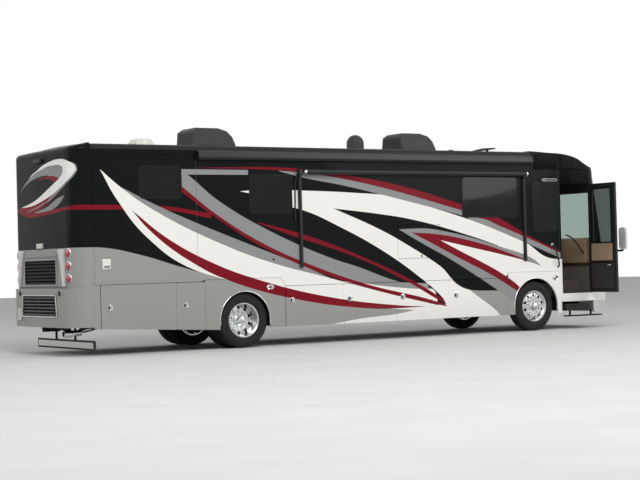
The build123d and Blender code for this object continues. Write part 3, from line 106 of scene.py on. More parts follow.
# The paint's stripes, painted in this order. Each row is its colour, its upper edge and its lower edge
# as (x, z) points along the coach. A stripe runs from its first point's x to its last point's x.
STRIPES = (
    ("red",
     [(-3.12, 2.485), (-1.54, 2.456), (-0.62, 2.325)],
     [(-3.12, 2.402), (-1.54, 2.389), (-0.62, 2.240)]),
    ("silver",
     [(-3.29, 1.790), (-2.71, 1.784), (-1.99, 1.649), (-1.25, 1.436), (-0.72, 1.304), (3.95, 1.0)],
     [(-3.29, 0.0), (3.95, 0.0)]),
    ("white",
     [(-2.68, 3.065), (-2.29, 2.755), (-1.60, 2.330), (-0.47, 1.819), (0.46, 1.491), (1.76, 1.159),
      (3.07, 0.830), (4.70, 0.470)],
     [(-2.68, 3.065), (-2.38, 2.557), (-1.80, 1.890), (-1.06, 1.406), (-0.29, 1.164), (0.50, 0.932),
      (1.75, 0.682), (3.06, 0.561), (4.70, 0.450)]),
    ("white",
     [(1.69, 0.323), (2.39, 0.406), (3.28, 0.468), (3.95, 0.572), (4.70, 0.62)],
     [(1.69, 0.0), (4.70, 0.0)]),
    ("grey",
     [(-2.30, 2.770), (-1.78, 2.523), (-1.04, 2.217), (0.15, 1.775), (1.14, 1.414), (1.76, 1.165)],
     [(-2.30, 2.755), (-1.60, 2.330), (-0.47, 1.819), (0.46, 1.491), (1.11, 1.318), (1.76, 1.159)]),
    ("red",
     [(-2.13, 2.399), (-1.42, 1.884), (-0.67, 1.507), (0.11, 1.222), (1.75, 0.820), (3.28, 0.615),
      (3.92, 0.569)],
     [(-2.13, 2.399), (-1.79, 2.040), (-1.06, 1.524), (-0.29, 1.164), (1.12, 0.789), (2.39, 0.603),
      (3.06, 0.561), (3.92, 0.569)]),
    ("grey",
     [(-1.21, 3.079), (-1.05, 2.979), (-0.45, 2.529), (0.54, 2.013), (1.77, 1.525), (2.389, 1.340),
      (3.145, 1.085), (3.532, 0.989), (4.042, 0.904)],
     [(-1.21, 2.809), (-0.45, 2.264), (0.53, 1.734), (1.35, 1.409), (2.38, 1.068), (2.757, 1.004),
      (3.205, 0.951), (4.042, 0.898)]),
    ("white",
     [(2.38, 1.072), (2.757, 1.004), (3.205, 0.951), (3.661, 0.908), (4.042, 0.893), (4.15, 0.70)],
     [(2.38, 1.060), (3.01, 0.880), (3.656, 0.740), (4.15, 0.650)]),
    ("white",
     [(-0.038, 2.706), (0.137, 2.722)],
     [(-0.038, 2.703), (0.137, 2.671)]),
    ("grey",
     [(-1.21, 3.079), (0.13, 3.076)],
     [(-1.21, 2.985), (0.13, 2.990)]),
    ("red",
     [(-1.21, 2.809), (-0.45, 2.264), (0.53, 1.734), (1.35, 1.409), (2.63, 1.008), (3.97, 0.701),
      (4.60, 0.506)],
     [(-1.21, 2.716), (-0.55, 2.265), (0.53, 1.664), (1.76, 1.194), (3.07, 0.830), (4.60, 0.506)]),
    ("red",
     [(0.30, 2.172), (1.24, 1.943), (2.42, 1.547), (3.75, 0.983), (4.60, 0.506)],
     [(0.30, 2.150), (0.95, 1.938), (2.21, 1.561), (3.52, 1.017), (4.16, 0.690), (4.60, 0.506)]),
    ("white",
     [(0.97, 2.730), (2.33, 2.684), (3.26, 2.616), (3.90, 2.458), (5.21, 2.105), (6.29, 1.736),
      (7.22, 1.383), (7.40, 1.440), (8.69, 1.440)],
     [(0.97, 2.430), (1.25, 2.367), (2.01, 2.067), (2.87, 1.657), (3.76, 1.113), (4.30, 0.690),
      (4.75, 0.0), (8.69, 0.0)]),
    ("silver",
     [(4.92, 0.850), (5.20, 1.060), (5.42, 1.134), (5.80, 0.950), (6.20, 0.730)],
     [(4.92, 0.844), (5.66, 0.321), (5.80, 0.0), (6.20, 0.0)]),
    ("black",
     [(1.87, 2.404), (2.89, 2.296), (3.57, 2.200), (4.96, 1.876), (5.63, 1.680)],
     [(1.87, 2.404), (2.88, 2.013), (3.55, 1.691), (4.23, 1.315), (4.90, 0.850), (5.63, 0.810)]),
    ("grey",
     [(3.31, 2.012), (3.79, 2.025), (4.49, 1.942), (5.69, 1.655), (6.43, 1.438), (6.75, 1.241)],
     [(3.31, 2.008), (3.78, 1.771), (4.47, 1.441), (5.17, 1.064), (5.63, 0.802), (6.20, 0.45),
      (6.75, 0.0)]),
    ("white",
     [(4.25, 1.801), (4.95, 1.658), (5.68, 1.511), (6.43, 1.341), (6.90, 1.200)],
     [(4.25, 1.801), (4.71, 1.590), (5.20, 1.380), (5.67, 1.160), (6.13, 0.873), (6.30, 0.50),
      (6.50, 0.0), (6.90, 0.0)]),
    ("red",
     [(3.58, 1.953), (4.25, 1.904), (4.96, 1.781), (5.68, 1.597), (6.75, 1.241)],
     [(3.58, 1.953), (4.25, 1.801), (4.95, 1.658), (6.43, 1.341), (6.75, 1.241)]),
    ("red",
     [(3.58, 1.953), (4.20, 1.815), (4.25, 1.801), (4.30, 1.778), (4.71, 1.590), (5.20, 1.380),
      (5.67, 1.160), (6.14, 0.873)],
     [(3.58, 1.953), (4.01, 1.762), (4.71, 1.445), (5.42, 1.134), (6.14, 0.760)]),
    ("red",
     [(-0.90, 3.105), (0.50, 3.130), (1.40, 3.086), (2.49, 2.962), (3.32, 2.828), (4.81, 2.468)],
     [(-0.90, 3.100), (0.50, 3.085), (1.40, 3.026), (2.34, 2.896), (3.13, 2.744), (4.81, 2.349)]),
    ("grey",
     [(0.75, 3.070), (1.40, 3.026), (2.34, 2.896), (3.13, 2.744), (4.81, 2.349)],
     [(0.75, 3.060), (1.27, 2.945), (2.05, 2.822), (2.88, 2.661), (4.81, 2.253)]),
    ("red",
     [(5.22, 2.206), (5.41, 2.235), (5.60, 2.230), (5.80, 2.155), (6.20, 1.955), (6.45, 1.840),
      (7.22, 1.530)],
     [(5.22, 2.206), (5.70, 2.049), (6.22, 1.869), (6.69, 1.690), (7.22, 1.500)]),
    ("grey",
     [(4.93, 2.222), (5.22, 2.206), (5.70, 2.049), (6.22, 1.869), (7.22, 1.500)],
     [(4.93, 2.190), (5.21, 2.105), (5.70, 1.953), (6.29, 1.736), (7.22, 1.400)]),
)
STRIPE_BACK, STRIPE_FRONT, STRIPE_TOP = -3.3, 8.7, 3.6
STRIPE_SHARPNESS = 1500

# The rear face's swoosh, painted in the same way over the stripes: its points are (y, z)
REAR_STRIPES = (
    ("red",
     [(-1.31, 2.485), (-1.21, 2.476), (-0.974, 2.460), (-0.373, 2.439), (0.25, 2.441), (0.827, 2.517),
      (1.03, 2.505), (1.31, 2.490)],
     [(-1.31, 2.402), (-1.20, 2.408), (-0.97, 2.402), (-0.551, 2.370), (0.004, 2.344), (0.384, 2.334),
      (0.77, 2.387), (1.03, 2.449), (1.31, 2.430)]),
    ("grey",
     [(-1.228, 3.060), (-1.220, 3.130), (-1.10, 3.190), (-0.90, 2.900), (-0.50, 2.750), (0.0, 2.600),
      (0.15, 2.560)],
     [(-1.228, 3.050), (-1.190, 2.960), (-1.026, 2.829), (-0.692, 2.710), (-0.385, 2.621),
      (0.15, 2.550)]),
    ("red",
     [(-1.03, 2.842), (-0.63, 2.700), (0.11, 2.590), (0.86, 2.520)],
     [(-1.03, 2.838), (-0.63, 2.655), (-0.13, 2.500), (0.40, 2.425), (0.86, 2.500)]),
    ("grey",
     [(-1.147, 2.906), (-0.754, 2.745), (-0.134, 2.560), (0.571, 2.440)],
     [(-1.147, 2.903), (-0.754, 2.715), (-0.134, 2.520), (0.571, 2.428)]),
    ("red",
     [(-0.40, 2.640), (-0.134, 2.540), (0.475, 2.436)],
     [(-0.40, 2.630), (-0.134, 2.490), (0.475, 2.420)]),
    ("grey",
     [(-0.974, 2.655), (-0.655, 2.600), (-0.315, 2.495), (0.22, 2.420)],
     [(-0.974, 2.650), (-0.832, 2.551), (-0.617, 2.464), (-0.28, 2.418), (0.22, 2.402)]),
    ("grey",
     [(-0.925, 3.099), (-0.839, 3.145), (-0.661, 3.165), (-0.357, 3.161), (-0.076, 3.118),
      (0.178, 3.080), (0.471, 2.990), (0.74, 2.872), (0.931, 2.758)],
     [(-0.925, 3.040), (-0.797, 2.950), (-0.589, 2.975), (-0.225, 3.015), (0.215, 2.985), (0.474, 2.935),
      (0.74, 2.850), (0.931, 2.756)]),
    ("red",
     [(-0.77, 2.945), (-0.60, 2.985), (-0.286, 2.999), (-0.037, 2.989), (0.185, 2.961)],
     [(-0.77, 2.940), (-0.614, 2.895), (-0.405, 2.945), (-0.16, 2.962), (0.185, 2.958)]),
    ("white",
     [(-1.213, 3.055), (-1.202, 3.128), (-1.107, 3.199), (-0.934, 3.247), (-0.726, 3.257),
      (-0.423, 3.235), (-0.111, 3.182), (0.112, 3.118), (0.306, 3.068), (0.471, 2.995)],
     [(-1.213, 3.045), (-0.930, 3.045), (-0.922, 3.099), (-0.839, 3.145), (-0.661, 3.165),
      (-0.357, 3.161), (-0.076, 3.118), (0.178, 3.080), (0.471, 2.993)]),
    ("white",
     [(-1.213, 3.060), (-0.926, 3.060), (-0.915, 3.027), (-0.797, 2.950), (-0.582, 2.866),
      (-0.333, 2.783), (-0.017, 2.677), (0.271, 2.604), (0.86, 2.521)],
     [(-1.213, 3.044), (-1.15, 2.953), (-1.028, 2.865), (-0.816, 2.781), (-0.572, 2.702),
      (-0.262, 2.627), (0.052, 2.569), (0.436, 2.524), (0.86, 2.518)]),
)
REAR_SIDE, REAR_FAR = -1.31, 1.31
# The swoosh starts behind this place, over this length
REAR_PAINT_X, REAR_BLEND = -3.05, 0.002
# The roof's membrane ends this far inside the walls
ROOF_EDGE = 0.10


def linear(code):
    """An sRGB hex colour as linear red, green, blue and full opacity."""
    parts = [int(code[i:i + 2], 16) / 255 for i in (0, 2, 4)]
    return [c / 12.92 if c <= 0.04045 else ((c + 0.055) / 1.055) ** 2.4 for c in parts] + [1.0]


def colour_prop(name, description, code):
    """A colour that a user can change, in linear light."""
    return bpy.props.FloatVectorProperty(
        name=name, description=description, default=linear(code), size=4, min=0, max=1, subtype="COLOR"
    )


class CoachPaint(bpy.types.PropertyGroup):
    """Colours of the body paint."""

    black: colour_prop("Black", "Main colour over the sides, ends and brow", "101213")
    silver: colour_prop("Silver", "Rear lower body", "999A96")
    white: colour_prop("White", "Front lower body and wide swooshes", "EFEDE8")
    grey: colour_prop("Grey", "Narrow bands beside the swooshes", "8E8F90")
    red: colour_prop("Red", "Narrow curved stripes", "7C1522")


def length_prop(label, description, metres):
    """A length setting in metres."""
    return bpy.props.FloatProperty(
        name=label, description=description, default=metres, precision=4, unit="LENGTH", subtype="DISTANCE"
    )


class CoachSizes(bpy.types.PropertyGroup):
    """Sizes of the fittings."""

    tread_depth: length_prop("Tread depth", "Depth of the tyre grooves", 0.013)
    hand_holes: bpy.props.IntProperty(
        name="Hand holes", description="Holes in each wheel disc", default=10, min=4
    )
    hand_hole_r: length_prop("Hand hole radius", "Radius of each hole in a wheel disc", 0.028)
    nut_circle: length_prop("Nut circle", "Radius of the circle of wheel nuts", 0.143)
    edge: length_prop("Panel edge", "Rounding along the panels' edges", 0.004)


def at(x, y, z):
    """A place on the coach, moved to the frame."""
    return Vector((x + AXLE_X, y + MID_Y, z))


def clear():
    """Nothing is selected and nothing is being edited."""
    if bpy.context.object and bpy.context.object.mode != "OBJECT":
        bpy.ops.object.mode_set(mode="OBJECT")
    bpy.ops.object.select_all(action="DESELECT")


def activate(*pieces):
    """Only these pieces are selected, and the first is active."""
    clear()
    for piece in pieces:
        piece.select_set(True)
    bpy.context.view_layer.objects.active = pieces[0]


def edit(piece):
    """The piece is open for editing, with all of it selected."""
    activate(piece)
    bpy.ops.object.mode_set(mode="EDIT")
    bpy.ops.mesh.select_mode(type="VERT")
    bpy.ops.mesh.select_all(action="SELECT")


def close(piece, sharp=35):
    """Editing ends: doubles are merged, faces point outwards and gentle curves are smooth."""
    bpy.ops.mesh.select_all(action="SELECT")
    bpy.ops.mesh.remove_doubles(threshold=0.00002)
    bpy.ops.mesh.normals_make_consistent(inside=False)
    bpy.ops.object.mode_set(mode="OBJECT")
    bpy.ops.object.shade_smooth_by_angle(angle=radians(sharp))
    return piece


def pick_faces(piece, test):
    """Selects the faces whose centre and normal pass a test. The piece must be open for editing."""
    bpy.ops.mesh.select_all(action="DESELECT")
    bpy.ops.object.mode_set(mode="OBJECT")
    for face in piece.data.polygons:
        face.select = test(face.center, face.normal)
    bpy.ops.object.mode_set(mode="EDIT")
    bpy.ops.mesh.select_mode(type="FACE")


def block(name, low, high):
    """A block between two corners."""
    low, high = Vector(map(min, low, high)), Vector(map(max, low, high))
    clear()
    bpy.ops.mesh.primitive_cube_add(size=1, location=(low + high) / 2, scale=high - low)
    piece = bpy.context.object
    piece.name = name
    bpy.ops.object.transform_apply(location=True, rotation=True, scale=True)
    return piece


def rod(name, start, end, r, sides=24):
    """A round bar between two points."""
    start, end = Vector(start), Vector(end)
    turn = (end - start).to_track_quat("Z", "Y").to_euler()
    clear()
    bpy.ops.mesh.primitive_cylinder_add(
        vertices=sides, radius=r, depth=(end - start).length, location=(start + end) / 2, rotation=turn
    )
    piece = bpy.context.object
    piece.name = name
    bpy.ops.object.transform_apply(location=True, rotation=True, scale=True)
    return piece


def soften(piece, width, segments=2, sharp=35):
    """Rounds a piece's hard edges and smooths what is left."""
    activate(piece)
    bevel = piece.modifiers.new("edges", "BEVEL")
    bevel.width, bevel.segments = width, segments
    bevel.limit_method, bevel.angle_limit = "ANGLE", radians(sharp)
    bpy.ops.object.modifier_apply(modifier=bevel.name)
    bpy.ops.object.shade_smooth_by_angle(angle=radians(sharp))
    weight = piece.modifiers.new("flat_faces_stay_flat", "WEIGHTED_NORMAL")
    weight.keep_sharp = True
    bpy.ops.object.modifier_apply(modifier=weight.name)
    return piece


def drawn(name, points):
    """A line drawn from point to point: one vertex, extruded along it."""
    points = [Vector(p) for p in points]
    clear()
    bpy.ops.mesh.primitive_plane_add(size=0.001, location=points[0])
    piece = bpy.context.object
    piece.name = name
    bpy.ops.object.transform_apply(location=True, rotation=True, scale=True)
    edit(piece)
    bpy.ops.mesh.merge(type="CENTER")
    for a, b in zip(points, points[1:]):
        bpy.ops.mesh.extrude_vertices_move(TRANSFORM_OT_translate={"value": b - a})
    return piece


AXES = {"X": (Vector((1, 0, 0)), Vector((0, 0, 1))), "Y": (Vector((0, 1, 0)), Vector((1, 0, 0))),
        "Z": (Vector((0, 0, 1)), Vector((1, 0, 0)))}


def turned(name, outline, centre, axis="Y", steps=96, sharp=35):
    """A turned piece, from (radius, offset along its axis) points."""
    along, out = AXES[axis]
    centre = Vector(centre)
    piece = drawn(name, [centre + out * r + along * w for r, w in outline])
    bpy.ops.mesh.select_all(action="SELECT")
    bpy.ops.mesh.spin(steps=steps, angle=2 * pi, center=centre, axis=along)
    return close(piece, sharp)


def plate(name, points, push):
    """A flat plate from a closed outline, as thick as push is long."""
    piece = drawn(name, points)
    bpy.ops.mesh.select_all(action="SELECT")
    bpy.ops.mesh.edge_face_add()
    bpy.ops.mesh.extrude_region_move(TRANSFORM_OT_translate={"value": Vector(push)})
    return close(piece)


def border(name, points, width, push):
    """A flat frame inside a closed outline, as thick as push is long."""
    piece = drawn(name, points)
    bpy.ops.mesh.select_all(action="SELECT")
    bpy.ops.mesh.edge_face_add()
    bpy.ops.mesh.inset(thickness=width)
    bpy.ops.mesh.delete(type="FACE")
    bpy.ops.mesh.select_all(action="SELECT")
    bpy.ops.mesh.extrude_region_move(TRANSFORM_OT_translate={"value": Vector(push)})
    return close(piece)


def tube(name, points, r):
    """A round bar that bends through points, with rounded corners."""
    clear()
    curve = bpy.data.curves.new(name, "CURVE")
    curve.dimensions, curve.bevel_depth, curve.bevel_resolution = "3D", r, 4
    curve.use_fill_caps = True
    line = curve.splines.new("NURBS")
    line.points.add(len(points) - 1)
    for point, place in zip(line.points, points):
        point.co = (*place, 1)
    line.order_u, line.use_endpoint_u, line.resolution_u = 3, True, 8
    piece = bpy.data.objects.new(name, curve)
    bpy.context.scene.collection.objects.link(piece)
    activate(piece)
    bpy.ops.object.convert(target="MESH")
    piece = bpy.context.object
    edit(piece)
    return close(piece, 60)


def corners(low, high, r, steps=6):
    """A rounded rectangle as (u, v) points, anticlockwise."""
    (u0, v0), (u1, v1) = low, high
    middles = ((u1 - r, v0 + r, -90), (u1 - r, v1 - r, 0), (u0 + r, v1 - r, 90), (u0 + r, v0 + r, 180))
    points = []
    for u, v, start in middles:
        for i in range(steps + 1):
            angle = radians(start + 90 * i / steps)
            points.append((u + r * cos(angle), v + r * sin(angle)))
    return points


def copied(piece, name, matrix):
    """A copy of a piece with its own mesh, moved by a matrix."""
    mesh = piece.data.copy()
    mesh.transform(matrix)
    if matrix.determinant() < 0:
        mesh.flip_normals()
    twin = bpy.data.objects.new(name, mesh)
    bpy.context.scene.collection.objects.link(twin)
    return twin


def joined(name, pieces):
    """Several pieces as one."""
    activate(*pieces)
    if len(pieces) > 1:
        bpy.ops.object.join()
    bpy.context.object.name = name
    return bpy.context.object


def repeated(piece, moves):
    """Copies of a piece, one for each matrix in moves, each with its own mesh. The pattern itself goes."""
    copies = [copied(piece, f"{piece.name}_{i}", move) for i, move in enumerate(moves)]
    bpy.data.objects.remove(piece)
    return copies


def circle_of(piece, centre, axis, count):
    """A piece repeated round an axis, joined as one."""
    name, out, back = piece.name, Matrix.Translation(centre), Matrix.Translation(-centre)
    turns = [out @ Matrix.Rotation(2 * pi * i / count, 4, AXES[axis][0]) @ back for i in range(count)]
    return joined(name, repeated(piece, turns))


# The matrix that takes a piece from the curb side to the driver's side
ACROSS = Matrix.Translation((0, 2 * MID_Y, 0)) @ Matrix.Diagonal((1, -1, 1, 1))


def across(piece, name):
    """The same piece on the driver's side."""
    return copied(piece, name, ACROSS)


def cut(piece, cutter):
    """Takes a cutter's shape out of a piece."""
    activate(piece)
    tool = piece.modifiers.new("cut", "BOOLEAN")
    tool.operation, tool.object, tool.solver = "DIFFERENCE", cutter, "EXACT"
    bpy.ops.object.modifier_apply(modifier=tool.name)
    bpy.data.objects.remove(cutter)
    bpy.ops.object.shade_smooth_by_angle(angle=radians(30))
    return piece


def fit(piece, material, body, replaces=()):
    """Gives a finished piece its material and the body it rides on, and hides the CAD nodes it replaces."""
    if not piece.data.materials:
        piece.data.materials.append(material)
    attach(piece, body)
    if replaces:
        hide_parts(*replaces)
    return piece


def hold_within(piece, node):
    """Keeps a piece's points inside its CAD node's own box."""
    low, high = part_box(node)
    for vertex in piece.data.vertices:
        vertex.co = [min(max(value, a), b) for value, a, b in zip(vertex.co, low, high)]


def dressed(node, material, edge=None, sharp=35, segments=2):
    """A CAD node's merged copy with rounded edges, which stands for the node."""
    source = NODES[node]
    piece = bpy.data.objects.new(f"{node}_finished", source.data.copy())
    bpy.context.scene.collection.objects.link(piece)
    piece.data.materials.clear()
    activate(piece)
    bpy.ops.mesh.customdata_custom_splitnormals_clear()
    bpy.ops.object.mode_set(mode="EDIT")
    bpy.ops.mesh.select_all(action="SELECT")
    bpy.ops.mesh.remove_doubles(threshold=0.00002)
    bpy.ops.mesh.dissolve_limited(angle_limit=radians(0.6))
    bpy.ops.object.mode_set(mode="OBJECT")
    if edge:
        soften(piece, edge, segments, sharp)
        hold_within(piece, node)
    else:
        bpy.ops.object.shade_smooth_by_angle(angle=radians(sharp))
    return fit(piece, material, source["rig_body"], replaces=[node])


def second_finish(piece, material, test):
    """Gives the faces whose centre and normal pass a test another material."""
    piece.data.materials.append(material)
    index = len(piece.data.materials) - 1
    for face in piece.data.polygons:
        if test(face.center, face.normal):
            face.material_index = index
    return piece


def finish_within(piece, material, low, high):
    """Gives the faces that lie wholly between two corners another material."""
    piece.data.materials.append(material)
    index = len(piece.data.materials) - 1
    for face in piece.data.polygons:
        spots = [piece.data.vertices[i].co for i in face.vertices]
        if all(a <= c <= b for spot in spots for a, c, b in zip(low, spot, high)):
            face.material_index = index
    return piece


def line_inside(piece, material):
    """Gives a body panel's inner faces the cabin's lining."""
    back, front = at(REAR_X + 0.6, 0, 0).x, at(FRONT_X - 0.9, 0, 0).x

    def inward(centre, normal):
        core = Vector((min(max(centre.x, back), front), MID_Y, min(max(centre.z, 1.4), 2.9)))
        return (centre - core).normalized().dot(normal) < -0.2

    return second_finish(piece, material, inward)


def add_node(tree, kind, settings=None, inputs=None):
    """Adds one node with its settings. Each input gets a plain value, or a link from a node's socket."""
    node = tree.nodes.new(kind)
    for name, value in (settings or {}).items():
        setattr(node, name, value)
    for key, value in (inputs or {}).items():
        if isinstance(value, bpy.types.NodeSocket):
            tree.links.new(value, node.inputs[key])
        else:
            node.inputs[key].default_value = value
    return node


def new_material(name, fixed=None):
    """A material with one plain surface shader, and its fixed values on that shader's own sockets."""
    material = bpy.data.materials.new(name)
    material.use_nodes = True
    tree = material.node_tree
    shader = tree.nodes["Principled BSDF"]
    for socket, value in (fixed or {}).items():
        shader.inputs[socket].default_value = value
    return material, tree, add_node(tree, "ShaderNodeTexCoord").outputs["Object"]


def to_shader(material, sources):
    """Links sockets to the surface shader's inputs."""
    shader = material.node_tree.nodes["Principled BSDF"]
    for socket, source in sources.items():
        material.node_tree.links.new(source, shader.inputs[socket])
    return material


# Most of a noise's values lie between these two
GRAIN_LOW, GRAIN_HIGH = 0.35, 0.65


def grained(name, colours, grain_mm, depth_mm, roughness, fixed=None):
    """A material whose colour, roughness and height vary with one grain of a real size."""
    material, tree, place = new_material(name, fixed)
    grain = add_node(tree, "ShaderNodeTexNoise", None, {
        "Vector": place, "Scale": 1000 / grain_mm, "Detail": 4,
    }).outputs["Fac"]
    share = add_node(tree, "ShaderNodeMapRange", None, {
        "Value": grain, "From Min": GRAIN_LOW, "From Max": GRAIN_HIGH,
    }).outputs["Result"]
    dark, light = map(linear, colours)
    colour = add_node(tree, "ShaderNodeMix", {"data_type": "RGBA"}, {0: share, 6: dark, 7: light})
    rough = add_node(tree, "ShaderNodeMapRange", None, {
        "Value": share, "To Min": roughness[0], "To Max": roughness[1],
    })
    bump = add_node(tree, "ShaderNodeBump", None, {"Height": grain, "Distance": depth_mm / 1000})
    return to_shader(material, {
        "Base Color": colour.outputs[2], "Roughness": rough.outputs["Result"],
        "Normal": bump.outputs["Normal"],
    })


def edge_height(tree, along, points, reach):
    """The height of a stripe's edge along the coach, as a smooth curve through its points."""
    node = add_node(tree, "ShaderNodeFloatCurve", None, {"Value": along})
    curve = node.mapping.curves[0]
    first, last = reach
    spots = [((x - first) / (last - first), z / STRIPE_TOP) for x, z in points]
    curve.points[0].location, curve.points[1].location = spots[0], spots[-1]
    for spot in spots[1:-1]:
        curve.points.new(*spot)
    for point in curve.points:
        point.handle_type = "AUTO_CLAMPED"
    node.mapping.extend = "HORIZONTAL"
    node.mapping.update()
    return node.outputs["Value"]


def stripe_mask(tree, along, height, upper, lower, reach):
    """1 inside a stripe, with an edge a few millimetres soft."""
    start, end = [(spot[0] - reach[0]) / (reach[1] - reach[0]) for spot in (upper[0], upper[-1])]
    top, bottom = edge_height(tree, along, upper, reach), edge_height(tree, along, lower, reach)
    inside = None
    for more, less in ((top, height), (height, bottom), (along, start), (end, along)):
        gap = add_node(tree, "ShaderNodeMath", {"operation": "SUBTRACT"}, {0: more, 1: less}).outputs[0]
        if inside:
            gap = add_node(tree, "ShaderNodeMath", {"operation": "MINIMUM"}, {0: inside, 1: gap}).outputs[0]
        inside = gap
    return add_node(tree, "ShaderNodeMath", {"operation": "MULTIPLY", "use_clamp": True}, {
        0: inside, 1: STRIPE_SHARPNESS,
    }).outputs[0]


def painted(tree, base, rows, along, height, reach, only=None):
    """The stripes of one table, coat over coat. Where only is given, it masks them to one face."""
    paint = bpy.context.scene.coach_paint
    for name, upper, lower in rows:
        mask = stripe_mask(tree, along, height, upper, lower, reach)
        if only:
            mask = add_node(tree, "ShaderNodeMath", {"operation": "MULTIPLY"}, {0: mask, 1: only}).outputs[0]
        base = add_node(tree, "ShaderNodeMix", {"data_type": "RGBA"}, {
            0: mask, 6: base, 7: getattr(paint, name),
        }).outputs[2]
    return base


def dusted(tree, place, up, base):
    """Dust thrown up by the wheels, thickest along the lower edge."""
    film = add_node(tree, "ShaderNodeTexNoise", None, {"Vector": place, "Scale": 1000 / 120, "Detail": 5})
    low = add_node(tree, "ShaderNodeMapRange", None, {
        "Value": up, "From Min": 0.75, "From Max": 0.25, "To Max": 0.30,
    })
    dust = add_node(tree, "ShaderNodeMath", {"operation": "MULTIPLY"}, {
        0: low.outputs["Result"], 1: film.outputs["Fac"],
    })
    return add_node(tree, "ShaderNodeMix", {"data_type": "RGBA"}, {
        0: dust.outputs[0], 6: base, 7: linear("8C8375"),
    }).outputs[2]


def striped_paint():
    """Two-stage automotive paint on moulded fibreglass: colour under a clear coat, so it is even in colour
    and mirrors softly, with the slight ripple of sprayed lacquer."""
    material, tree, place = new_material("clear_coated_body_paint", {
        "Roughness": 0.4, "Specular IOR Level": 0.04, "Coat Weight": 0.06, "Coat Roughness": 0.05,
    })
    axes = add_node(tree, "ShaderNodeSeparateXYZ", None, {"Vector": place}).outputs
    lengthwise, rearwise, upright = (STRIPE_BACK, STRIPE_FRONT), (REAR_SIDE, REAR_FAR), (0, STRIPE_TOP)
    shares = []
    for axis, start, (low, high) in (("X", AXLE_X, lengthwise), ("Y", MID_Y, rearwise), ("Z", 0, upright)):
        shares.append(add_node(tree, "ShaderNodeMapRange", {"clamp": False}, {
            "Value": axes[axis], "From Min": start + low, "From Max": start + high,
        }).outputs["Result"])
    along, sideways, height = shares
    black = add_node(tree, "ShaderNodeRGB").outputs["Color"]
    black.default_value = bpy.context.scene.coach_paint.black
    base = painted(tree, black, STRIPES, along, height, lengthwise)
    rear = add_node(tree, "ShaderNodeMapRange", None, {
        "Value": axes["X"], "From Min": AXLE_X + REAR_PAINT_X, "From Max": AXLE_X + REAR_PAINT_X - REAR_BLEND,
    }).outputs["Result"]
    base = painted(tree, base, REAR_STRIPES, sideways, height, rearwise, rear)
    ripple = add_node(tree, "ShaderNodeTexNoise", None, {"Vector": place, "Scale": 1000 / 60, "Detail": 1})
    bump = add_node(tree, "ShaderNodeBump", None, {
        "Height": ripple.outputs["Fac"], "Strength": 0.25, "Distance": 0.0004,
    })
    return to_shader(material, {
        "Base Color": dusted(tree, place, axes["Z"], base), "Normal": bump.outputs["Normal"],
    })


def roof_skin():
    """Rolled roof sheet: a chalky pale membrane on top, and body paint down its rounded edges."""
    material, tree, place = new_material("roof_membrane", {"Roughness": 0.5, "Specular IOR Level": 0.25})
    axes = add_node(tree, "ShaderNodeSeparateXYZ", None, {"Vector": place}).outputs
    side = add_node(tree, "ShaderNodeMath", {"operation": "SUBTRACT"}, {0: axes["Y"], 1: MID_Y}).outputs[0]
    out = add_node(tree, "ShaderNodeMath", {"operation": "ABSOLUTE"}, {0: side}).outputs[0]
    stain = add_node(tree, "ShaderNodeTexNoise", None, {"Vector": place, "Scale": 1000 / 350, "Detail": 6})
    chalk = add_node(tree, "ShaderNodeMix", {"data_type": "RGBA"}, {
        0: stain.outputs["Fac"], 6: linear("A8A59D"), 7: linear("CFCDC6"),
    })
    edge = add_node(tree, "ShaderNodeMapRange", None, {
        "Value": out, "From Min": HALF - ROOF_EDGE, "From Max": HALF - ROOF_EDGE + 0.005,
    })
    colour = add_node(tree, "ShaderNodeMix", {"data_type": "RGBA"}, {
        0: edge.outputs["Result"], 6: chalk.outputs[2], 7: bpy.context.scene.coach_paint.black,
    })
    return to_shader(material, {"Base Color": colour.outputs[2]})


def tinted_glass():
    """Solar glass, nearly black: it shows only what it mirrors."""
    return grained("tinted_window_glass", ("070809", "0C0E0F"), 400, 0.02, (0.04, 0.09),
                   {"Specular IOR Level": 0.14, "Coat Weight": 0.12, "Coat Roughness": 0.02})


def clear_glass():
    """Laminated windshield glass: see-through with a green tint."""
    return see_through("laminated_glass", "A3B7AD")


def privacy_glass():
    """The entry door's pane: smoked, so that what is behind it shows only darkly."""
    return see_through("smoked_glass", "59635F")


def see_through(name, tint):
    """Glass that light passes, with a tint and a slight haze."""
    material, tree, place = new_material(
        name, {"Transmission Weight": 0.92, "IOR": 1.45, "Base Color": linear(tint)}
    )
    haze = add_node(tree, "ShaderNodeTexNoise", None, {"Vector": place, "Scale": 1000 / 250})
    rough = add_node(tree, "ShaderNodeMapRange", None, {
        "Value": haze.outputs["Fac"], "To Min": 0.0, "To Max": 0.06,
    })
    return to_shader(material, {"Roughness": rough.outputs["Result"]})


def bright_metal(name, colours, roughness, grain_mm):
    """A bare bright metal with the fine scratches of its polish."""
    return grained(name, colours, grain_mm, 0.03, roughness, {"Metallic": 1.0})


def polished_aluminium():
    """Forged aluminium wheel, machine polished: a bright, slightly streaky mirror."""
    return bright_metal("polished_forged_aluminium", ("C4C5C6", "D6D7D7"), (0.14, 0.20), 60)


def chrome_plate():
    """Chrome on steel and on plastic: a cold clean mirror."""
    return bright_metal("chrome_plate", ("C9CBCD", "E0E1E2"), (0.05, 0.10), 30)


def mirror_glass_painted_reflection():
    """Mirror glass in a pale, partly metallic grey that stays bright whatever it faces: a painted reflection.
    """
    return grained("dusty_silvered_mirror", ("C3C9CC", "DCE0E1"), 200, 0.02, (0.15, 0.25), {"Metallic": 0.3})


def tyre_rubber():
    """Black tyre rubber: matt, greyed by dust."""
    return grained("tyre_rubber", ("141414", "2A2927"), 14, 0.5, (0.72, 0.92), {"Specular IOR Level": 0.3})


